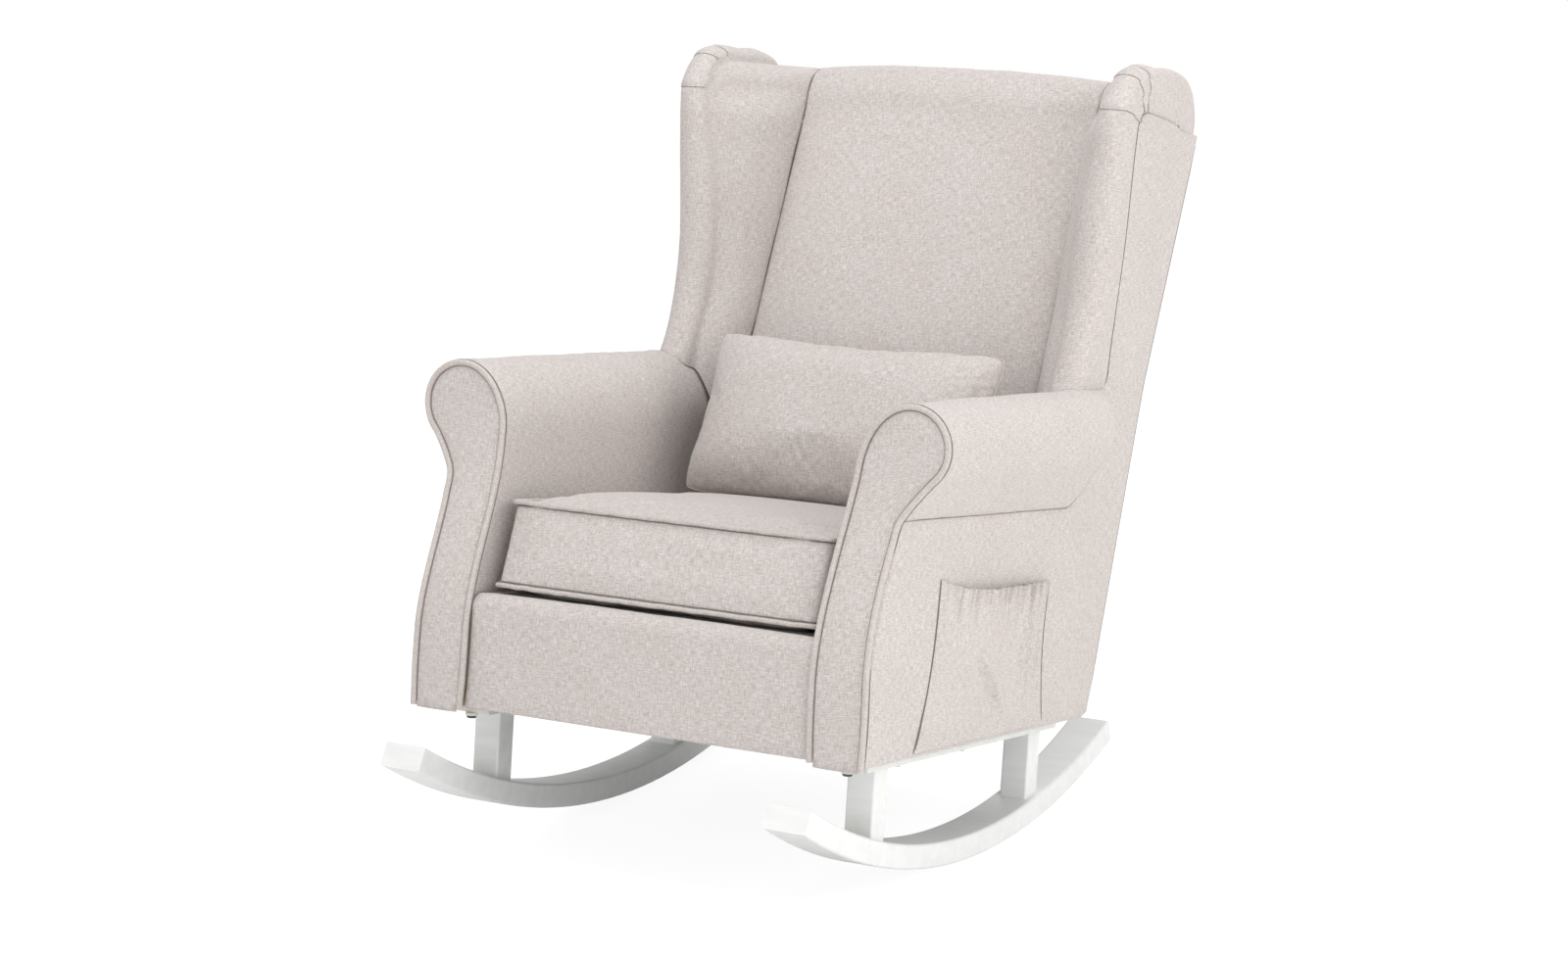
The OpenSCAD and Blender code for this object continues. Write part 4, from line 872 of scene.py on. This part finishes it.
def rear_cover(edge):
    """The outside back, between the rear edges of both outside covers."""
    edge = edge[edge[:, 2] <= PANEL_TOP]
    head = [splayed_x(PANEL_TOP), rear_y(PANEL_TOP), PANEL_TOP]
    edge = np.concatenate([edge, [head]])
    cols = np.linspace(-1, 1, 90)
    P = points((edge[:, :1] - 0.5) * cols, edge[:, 1:2], edge[:, 2:])
    inside = (1 - np.abs(cols) ** 10) * ease((P[..., 2] - 165) / 40)
    inside = inside * ease((PANEL_TOP - P[..., 2]) / 30)
    P[..., 1] += (0.9 + 0.9 * wave_noise(P, 240, 71)) * inside - 0.6
    foot = P[:1] + (0, -30.0, 0.5)
    top = P[-1:] + (0, -6.0, 1.0)
    P = np.concatenate([foot, P, top])
    cover("rear_cover", "rear_panel", P, (0, 250, 560))
    # painted shade: dark lines along the head seam and both rear edges
    shade_line(P[-2, 1:-1] + (0, 0.9, 0.6), 0.9)
    for side in (-1, 1):
        shade_line(edge[4:] + (-0.2, 0.6, 0), 0.9, side)


def apron():
    pad = 9
    face = front_y(288) + 12 - pad
    r, face_rows, nose_rows = 18.0, 44, 16
    head = deck_z(face + pad)
    line = [(face, z) for z in np.linspace(under(face) + 0.5, head - r, face_rows)]
    line += arc(face + r, head - r, r, r, 172, 90, nose_rows)
    line += [(y, deck_z(y) - 0.4) for y in np.linspace(face + r + 4, face + 60, 6)]
    line = np.array(line)
    cols = np.linspace(-1, 1, 100)
    half = np.interp(line[:, 1:], (166, 204, 282), (245.7, 243.7, 242.0))
    P = points(half * cols, line[:, :1], line[:, 1:])
    core = (0, -200, 200)
    out = outward(P, core)
    inside = 1 - np.abs(cols) ** 14
    low = ease((P[..., 2] - under(face)) / 16)
    push = (2.2 * low + 0.9 * wave_noise(P * [1, 1, 0.8], 170, 81)) * inside - 1.0
    push[face_rows + nose_rows :] = -0.4
    P = P + out * push[..., None]
    P = np.concatenate([P[:1] + (0, 12.0, -0.5), P])
    cover("apron_cover", "front_apron", P, core)


def deck():
    half = 240.5
    X, Y = np.meshgrid(np.linspace(-half, half, 44), np.linspace(-300, 232, 50))
    sag = (1 - (X / half) ** 4) * (1 - ((Y + 34) / 266) ** 4)
    P = points(X, Y, deck_z(Y) - 0.3 - 2.0 * sag)
    ob = cloth_grid("deck_cover", P, (0, -30, 200), DECK)
    declare(ob, "seat_deck")


def dust_cover():
    """The thin cloth under the seat, and the dark webbing of the back."""
    half = 241
    X, Y = np.meshgrid(np.linspace(-half, half, 48), np.linspace(-338, 288, 60))
    sag = (1 - (X / half) ** 2) * (1 - ((Y + 25) / 313) ** 4)
    ripple = 0.5 * np.sin(X / 9) * np.exp(-(half - np.abs(X)) / 20) * np.sin(Y / 14)
    P = points(X, Y, under(Y) + 0.6 - 3.5 * sag + ripple)
    ob = cloth_grid("dust_cloth", P, (0, -30, 300), DARK)
    declare(ob, "dust_cover")
    u, z = np.linspace(-25, 25, 9), mix(300.0, 923.0, np.linspace(0, 1, 40))[:, None]
    y = rear_y(z) - 38 / math.cos(BACK_RAKE) - 0.9 - 0.25 * np.cos(u / 25 * 3)
    straps = [grid_parts(points(x + u, y, z), (0, 900, 600)) for x in range(-200, 201, 100)]
    declare(join_parts("back_straps", straps, DARK), "back_webbing")


# half sections (radius, height) of the parts under the mounting rails
WASHER = ((0.5, 0.2), (7.6, 0.2), (8.0, -0.4), (8.0, -3.4), (7.5, -4.0), (0.5, -4.0))
BOLT_HEAD = (
    (0.5, -4.0), (5.6, -4.0), (6.2, -4.5), (6.2, -6.4),
    (5.4, -7.3), (2.9, -7.6), (2.6, -6.4), (0.5, -6.2),
)


def bolt_heads():
    """The flat heads on white washers under the mounting rails, ahead of the front legs."""
    y = -300.0
    rail_foot = under(y) - 14
    turns = np.linspace(0, 2 * math.pi, 28, endpoint=False)
    for name, mat, section in (
        ("rail_washers", PAINT, WASHER),
        ("rail_bolt_heads", DARK_STEEL, BOLT_HEAD),
    ):
        r, z = np.array(section).T[:, :, None]
        parts = []
        for x in (-270, 270):
            P = points(x + r * np.cos(turns), y + r * np.sin(turns), rail_foot + z)
            parts.append(grid_parts(P, (x, y, rail_foot - 3.4), True))
        join_parts(name, parts, mat)


# gathered side pocket

# the pocket's mouth and foot, as (y, z)
MOUTH = (
    (-190, 382), (-160, 372), (-120, 364.5), (-75, 360), (-27, 358),
    (25, 356.5), (75, 355), (115, 354), (144.5, 353),
)
FOOT = (
    (-233, 167), (-190, 166), (-140, 165), (-85, 164), (-30, 163),
    (25, 162), (75, 161), (120, 160), (150, 160),
)
DROP = 200.0
# long folds: place across at the mouth and one drop below it, reach down, height, width
FOLDS = (
    (0.70, 0.76, 150, 6.4, 0.016),
    (0.79, 0.82, 190, 5.8, 0.013),
    (0.9, 0.9, 170, 4.2, 0.011),
    (0.13, 0.10, 60, 4.4, 0.012),
    (0.2, 0.17, 45, 2.8, 0.010),
)


def pocket():
    n, m = 400, 120
    mouth, foot = smooth_path(MOUTH, n), smooth_path(FOOT, n)
    foot[:, 1] += 3.5
    u = np.linspace(0, 1, n)[None, :]
    v = (1 - (1 - np.linspace(0, 1, m)) ** 1.35)[:, None]
    bow = 11 * (1 - 2 * u) ** 3 * np.sin(math.pi * v)
    Y = mix(foot[:, 0], mouth[:, 0], v) + bow
    Z = mix(foot[:, 1], mouth[:, 1], v)
    down = (1 - v) * DROP
    lift = 15.0 * np.sin(math.pi * u) ** 0.7 * v**0.9
    seam = np.minimum(1, np.minimum(u, 1 - u) / 0.035)
    swell = ease((u - 0.08) / 0.3) * 0.6 + 0.55
    # close ruching under the elastic, fanning out below it
    phase = 2 * math.pi * (24 * u**1.15 + 0.35 * np.sin(9 * u) + 0.2 * np.sin(23 * u + 1))
    gather = np.sin(phase) + 0.4 * np.sin(phase * 1.7 + 1.3)
    crease = hill(np.sin(phase / 2), 0.34)
    lift += (1.5 * gather - 4.8 * crease) * np.exp(-down / 24) * swell * seam
    # wider folds that hang from it
    turn = 2 * math.pi * (8.5 * u**1.2 + 0.12 * np.sin(7 * u))
    folds = 2.0 * np.sin(turn) - 5.2 * hill(np.sin(turn / 2), 0.26)
    lift += folds * np.exp(-down / 58) * seam * swell * (1 - 0.35 * np.exp(-down / 10))
    # long folds towards the seams and one soft fold running down and back
    for u0, u1, reach, high, wide in FOLDS:
        x = u - mix(u0, u1, down / DROP)
        ridge = hill(x, wide) - 0.95 * hill(x - wide * 1.6, 0.7 * wide)
        lift += high * ridge * ease((reach - down) / 60) * seam
    along = np.clip((0.62 - v) / 0.56, 0, 1)
    x = u - (0.36 + 0.32 * along**0.9)
    soft = hill(x, 0.035) - 0.6 * hill(x + 0.06, 0.04)
    lift += 8.0 * soft * np.sin(math.pi * along) ** 0.8
    lift = np.maximum(lift * seam**0.5 * ease(v / 0.05), 0.15)
    edge = 0.9 * gather * np.exp(-down / 5) * seam * swell
    P = points(HALF + 3.0 + lift, Y, Z + edge)
    # the mouth's hem is turned in and hangs behind it
    hem_in = P[-1:] + (-1.8, 0, 0)
    hem_low = hem_in + (-0.4, 0, -16)
    hem_low[..., 0] = np.maximum(hem_low[..., 0], HALF + 2.6)
    P = np.concatenate([P, hem_in, hem_low])
    P[..., 0] = np.maximum(P[..., 0], HALF + 2.4)
    ob = cloth_grid("pocket_cover", P, (HALF - 60, 0, 300), LINEN)
    declare(ob, "side_pocket")
    # painted shade: dark lines along both side seams of the pocket
    shade_line(P[2:-3, 1] + (0.5, 0.3, 0), 0.95)
    shade_line(P[2:-3, -2] + (0.5, -0.3, 0), 0.55)
    band = smooth_path((P[-3, 8:-8] + (0.0, 0, -6.5))[::4], 200)
    band[:, 0] -= 3.4
    r = 1.9 + 0.25 * np.sin(np.arange(200) * 0.9)
    elastic = join_parts("pocket_elastic_band", [tube_parts(band, r, 8)], PIPING)
    declare(elastic, "pocket_elastic")


# cushion and pillow

# the cushion's half width, its front and half depth on the deck, and its two seams' heights
CUSHION_WIDE, CUSHION_FRONT, CUSHION_HALF = 237.0, 29.0, 249.0
LOWER_SEAM, BORDER = 13.5, 101.5
PILLOW_WIDE, PILLOW_HIGH, PILLOW_DEEP = 210.0, 122.0, 66.0
CUSHION_LEAN = LEAN + SEAT_RAKE
WELT = 6.4
WELT_STEP = WELT * 0.38 + 0.3
ALLOW = WELT / 2 + WELT_STEP
SEAM_HALF = 0.9
PILLOW_BASE = (8.0, 94.0, deck_z(94.0) + 134.8)


def leant(p, angle, base):
    """From a loose piece's own level frame to the chair's."""
    p = np.asarray(p, float)
    x, y, z = p[..., 0], p[..., 1], p[..., 2]
    c, s = math.cos(angle), math.sin(angle)
    return points(x + base[0], c * y + s * z + base[1], base[2] - s * y + c * z)


def on_seat(p):
    return leant(p, SEAT_RAKE, (0, FRONT, DECK_FRONT))


def on_pillow(p):
    return leant(p, PILLOW_RAKE, PILLOW_BASE)


def cushion_spot(u, v, h01, crown=0.0):
    """A place on the cushion: u across, v in depth, h01 up its border, crown beyond it."""
    pull = 1 - 0.03 * np.abs(u * v) ** 8
    shrink = 5.0 * np.sin(math.pi * h01) * (1 - np.abs(u * v) ** 3)
    h = LOWER_SEAM + BORDER * h01 + crown
    x = (CUSHION_WIDE - ALLOW - shrink) * pull * u
    mid = CUSHION_FRONT + CUSHION_HALF + 26 * (h - 15) / 100
    return points(x, mid + (CUSHION_HALF - shrink) * pull * v, h)


def pillow_spot(u, v, t):
    """A place on the pillow: u across, v up, t out from its middle plane."""
    pull = 1 - 0.05 * np.abs(u * v) ** 7
    x = u * (PILLOW_WIDE - 12 * (1 - v * v)) * pull + np.minimum(u, 0) * (12 + 8 * v)
    z = v * (PILLOW_HIGH - np.where(v > 0, 12, 3) * (1 - u * u)) * pull
    return points(x, t, z + PILLOW_HIGH)


def read(items, key, width=3, kind=float):
    out = np.zeros(len(items) * width, kind)
    items.foreach_get(key, out)
    return out.reshape(-1, width) if width > 1 else out


def soft_body(name, *panels):
    """Joins the panels of a soft piece into one closed skin."""
    bm = bmesh.new()
    for verts, faces in panels:
        made = [bm.verts.new(v) for v in verts.tolist()]
        for f in faces.tolist():
            bm.faces.new([made[i] for i in f])
    bmesh.ops.remove_doubles(bm, verts=bm.verts, dist=0.0003)
    bmesh.ops.recalc_face_normals(bm, faces=bm.faces)
    me = bpy.data.meshes.new(name)
    bm.to_mesh(me)
    bm.free()
    me.materials.append(LINEN)
    return linked(name, me)


def apply_modifier(ob, name, kind, **settings):
    for o in bpy.context.view_layer.objects:
        o.select_set(False)
    ob.select_set(True)
    bpy.context.view_layer.objects.active = ob
    mod = ob.modifiers.new(name, kind)
    configure(mod, **settings)
    bpy.ops.object.modifier_apply(modifier=mod.name)


def near(places, line, reach):
    """Which places lie within reach of a line's points, looked at in batches."""
    out = []
    for i in range(0, len(places), 2000):
        out.append(np.linalg.norm(places[i : i + 2000, None] - line[None], axis=2).min(1))
    return np.concatenate(out) < reach


def inflate(ob, voxel, sewn, reach, cap, pressure, shrink):
    """Cloth simulation of a stuffed cover that is held within reach of its sewn lines."""
    apply_modifier(ob, "remesh", "REMESH", mode="VOXEL", voxel_size=voxel, use_smooth_shade=True)
    me = ob.data
    rest = read(me.vertices, "co")
    group = ob.vertex_groups.new(name="sewn")
    for i in np.where(near(rest, sewn, reach))[0]:
        group.add([int(i)], 1.0, "REPLACE")
    cloth = ob.modifiers.new("cloth", "CLOTH")
    configure(
        cloth.settings, quality=6, mass=0.25, tension_stiffness=25, compression_stiffness=25,
        shear_stiffness=12, bending_stiffness=0.6, use_pressure=True,
        uniform_pressure_force=pressure, shrink_min=shrink, vertex_group_mass="sewn",
    )
    cloth.settings.effector_weights.gravity = 0
    cloth.collision_settings.use_collision = False
    last = 20
    configure(cloth.point_cache, frame_start=1, frame_end=last)
    scene = bpy.context.scene
    for f in range(1, last + 1):
        scene.frame_set(f)
    deps = bpy.context.evaluated_depsgraph_get()
    moved = read(ob.evaluated_get(deps).data.vertices, "co")
    ob.modifiers.remove(cloth)
    scene.frame_set(1)
    step = moved - rest
    length = np.linalg.norm(step, axis=1, keepdims=True)
    moved = rest + step * np.minimum(1, cap / np.maximum(length, 1e-9))
    me.vertices.foreach_set("co", moved.ravel())
    me.update()
    return moved


def levelled(p, angle):
    """World metres in a frame that is level with a piece that leans by an angle."""
    c, s = math.cos(angle), math.sin(angle)
    return np.stack([p[:, 0], c * p[:, 1] - s * p[:, 2], s * p[:, 1] + c * p[:, 2]], -1)


def finish_soft(ob, angle, body):
    """Subdivides once, and gives each face a weave along the panel that it belongs to."""
    apply_modifier(ob, "smooth", "SUBSURF", levels=1, render_levels=1)
    me = ob.data
    me.shade_smooth()
    layer = me.uv_layers.new(name="weave")
    p = levelled(read(me.vertices, "co"), angle)
    n = np.abs(levelled(read(me.polygons, "normal"), angle))
    totals = read(me.polygons, "loop_total", 1, np.int32)
    axis = np.repeat(np.argmax(n, 1), totals)[:, None]
    q = p[read(me.loops, "vertex_index", 1, np.int32)]
    upright = np.where(axis == 1, q[:, [0, 2]], q[:, [1, 2]])
    uv = np.where(axis == 2, q[:, [0, 1]], upright)
    layer.uv.foreach_set("vector", uv.astype(np.float32).ravel())
    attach(ob, body)


def seat_cushion():
    a = crowded(60, 1.15)
    U, V = np.meshgrid(a, a)
    flat = np.maximum((1 - np.abs(U) ** 3) * (1 - np.abs(V) ** 3), 0)
    top = on_seat(cushion_spot(U, V, 1.0, 17 * flat**0.62))
    low = on_seat(cushion_spot(U, V, 0.0, -13.5 * flat**0.5))
    ring = on_seat(cushion_spot(*four_sides(a[:-1]).T, np.linspace(0, 1, 14)[:, None]))
    panels = plain_grid(top), plain_grid(low), plain_grid(ring, True)
    ob = soft_body("seat_cushion_cover", *panels)
    # both seams and the four corners of the border are sewn
    u, v = four_sides(np.linspace(-1, 1, 150, endpoint=False)).T
    sewn = [stand(on_seat(cushion_spot(u, v, h)))[::2] for h in (0.0, 1.0)]
    for x in (-1, 1):
        sewn += [stand(on_seat(cushion_spot(x, y, np.linspace(0, 1, 22)))) for y in (-1, 1)]
    moved = inflate(ob, 0.005, np.concatenate(sewn), 0.0052, 0.008, 4.0, -0.012)
    # the underside stays flat on the deck
    on_deck = stand(on_seat([[0, 29.0, 0.6], [0, 500, 0.6]]))
    floor = levelled(on_deck, CUSHION_LEAN)[:, 2].max()
    height = levelled(moved, CUSHION_LEAN)[:, 2]
    up = np.array([0, math.sin(CUSHION_LEAN), math.cos(CUSHION_LEAN)])
    moved = moved + np.where(height < floor, floor - height, 0)[:, None] * up
    ob.data.vertices.foreach_set("co", moved.ravel())
    ob.data.update()
    finish_soft(ob, CUSHION_LEAN, "cushion")
    declare(ob, "seat_cushion")

    welts, seam_shades = [], []
    centre = np.array([0, CUSHION_FRONT + CUSHION_HALF + 13.0, 0])
    for h, way in ((0.0, -1), (1.0, 1)):
        P = cushion_spot(u, v, h)
        inwards = unit((centre - P) * (1, 1, 0))
        Q = on_seat(P - inwards * WELT_STEP * 0.7 + (0, 0, way * WELT_STEP * 0.7))
        Q = Q + wave_noise(Q, 30, 91 + way, 2)[:, None] * (0.3, 0.3, 0.7)
        r = WELT / 2 - 0.1 + 0.15 * wave_noise(Q, 16, 95, 2)
        welts.append(tube_parts(Q, r, 10, True, 0.9))
        # one dark line of painted seam shade on the border and one on the panel
        for d, z, thick in ((0.2, -way * 2.9, 0.85), (2.6, way * 0.6, 0.8)):
            S = on_seat(P + inwards * d + (0, 0, z))
            seam_shades.append(tube_parts(S, thick, 6, True))
    declare(join_parts("cushion_welts", welts, PIPING, "cushion"), "cushion_piping")
    join_parts("cushion_seam_shade", seam_shades, SEAM_SHADE, "cushion")


def lumbar_pillow():
    a = crowded(72, 1.5)
    U, V = np.meshgrid(a, a)
    full = np.maximum((1 - np.abs(U) ** 4) * (1 - np.abs(V) ** 4), 0) ** 0.55
    thick = SEAM_HALF + PILLOW_DEEP * full
    front = on_pillow(pillow_spot(U, V, -thick))
    rear = on_pillow(pillow_spot(U, V, thick))
    ring = on_pillow(pillow_spot(*four_sides(a[:-1]).T, np.array([[-SEAM_HALF], [SEAM_HALF]])))
    panels = plain_grid(front), plain_grid(rear), plain_grid(ring, True)
    ob = soft_body("lumbar_pillow_cover", *panels)
    u, v = four_sides(np.linspace(-1, 1, 160, endpoint=False)).T
    sewn = stand(on_pillow(pillow_spot(u, v, 0)))[::2]
    inflate(ob, 0.0042, sewn, 0.0045, 0.006, 3.0, -0.008)
    finish_soft(ob, LEAN + PILLOW_RAKE, "pillow")
    declare(ob, "lumbar_pillow")
    Q = on_pillow(pillow_spot(u * 1.004, v * 1.006, 0))
    ridge = tube_parts(Q, 1.3 + 0.15 * wave_noise(Q, 14, 99, 2), 8, True, 0.9)
    join_parts("pillow_seam_edge", [ridge], PIPING, "pillow")


# camera, floor and light

WARM = (1, 0.99, 0.975)
# name, place, target, width and height, watts, colour
LAMPS = (
    ("key", (3.6, 0.5, 1.55), (0.1, 0, 0.5), (2.6, 3.0), 67, WARM),
    ("fill", (-1.6, -3.7, 1.7), (0, 0, 0.5), (3.0, 2.4), 29, (1, 0.985, 0.965)),
    ("low", (1.6, -3.0, 0.4), (-0.3, 0, 0.12), (2.6, 0.6), 14, WARM),
    ("inner", (2.7, -2.3, 2.0), (-0.25, 0, 0.55), (1.8, 1.8), 20, WARM),
    ("top", (-0.1, -0.5, 3.4), (0, 0, 0.4), (3.0, 3.0), 66, (1, 1, 1)),
    ("rear", (-0.6, 3.4, 2.4), (0, 0, 0.6), (2.6, 1.8), 26, (1, 1, 1)),
)


def camera():
    az, el = math.radians(28.2656), math.radians(12.0745)
    back = Vector((math.sin(az) * math.cos(el), -math.cos(az) * math.cos(el), math.sin(el)))
    right = Vector((math.cos(az), math.sin(az), 0))
    data = bpy.data.cameras.new("camera")
    configure(data, lens=81, sensor_width=36, sensor_fit="HORIZONTAL", clip_end=60)
    ob = linked("camera", data)
    m = Matrix((right, back.cross(right), back)).transposed().to_4x4()
    m.translation = Vector((2.1383, -4.0156, 1.4328))
    ob.matrix_world = m
    bpy.context.scene.camera = ob


def studio():
    """White surroundings with a soft light, a bright floor and six lamps."""
    scene = bpy.context.scene
    scene.view_settings.view_transform = "Standard"
    scene.world = bpy.data.worlds.new("studio")
    add = node_adder(scene.world)
    soft = add("Background", Color=(1.0, 0.99, 0.98, 1), Strength=0.44).outputs[0]
    white = add("Background", Color=(1, 1, 1, 1), Strength=1.0).outputs[0]
    seen = add("LightPath").outputs["Is Camera Ray"]
    add("OutputWorld", Surface=add("MixShader", (seen, soft, white)).outputs[0])

    me = bpy.data.meshes.new("floor")
    s = 9.0
    me.from_pydata([(-s, -s, 0), (s, -s, 0), (s, s, 0), (-s, s, 0)], [], [(0, 1, 2, 3)])
    mat = bpy.data.materials.new("floor")
    add = node_adder(mat)
    flat = add("BsdfDiffuse", Color=(0.93, 0.93, 0.93, 1)).outputs[0]
    glow = add("Emission", Color=(1, 1, 1, 1), Strength=1.24).outputs[0]
    seen = add("LightPath").outputs["Is Camera Ray"]
    share = add("Math", (seen, 0.72), operation="MULTIPLY").outputs[0]
    add("OutputMaterial", Surface=add("MixShader", (share, flat, glow)).outputs[0])
    me.materials.append(mat)
    floor = linked("floor", me)
    floor.location.z = -0.0002

    for name, place, target, size, power, colour in LAMPS:
        data = bpy.data.lights.new(name, "AREA")
        configure(data, shape="RECTANGLE", size=size[0], size_y=size[1])
        configure(data, energy=power, color=colour)
        ob = linked(name, data)
        ob.location = place
        way = Vector(target) - Vector(place)
        ob.rotation_euler = way.to_track_quat("-Z", "Y").to_euler()


camera()
studio()
for side in (-1, 1):
    arm(side)
    arm_front(side)
    strip, strip_rows = wing(side)
    rear_edge = side_cover(side, strip, strip_rows)
rear_cover(rear_edge)
back_pad()
apron()
deck()
dust_cover()
bolt_heads()
pocket()
seat_cushion()
lumbar_pillow()
# all the dark lines of painted seam shade in one object
seam_shade_object = join_parts("seam_shade_lines", SHADE_LINES, SEAM_SHADE)
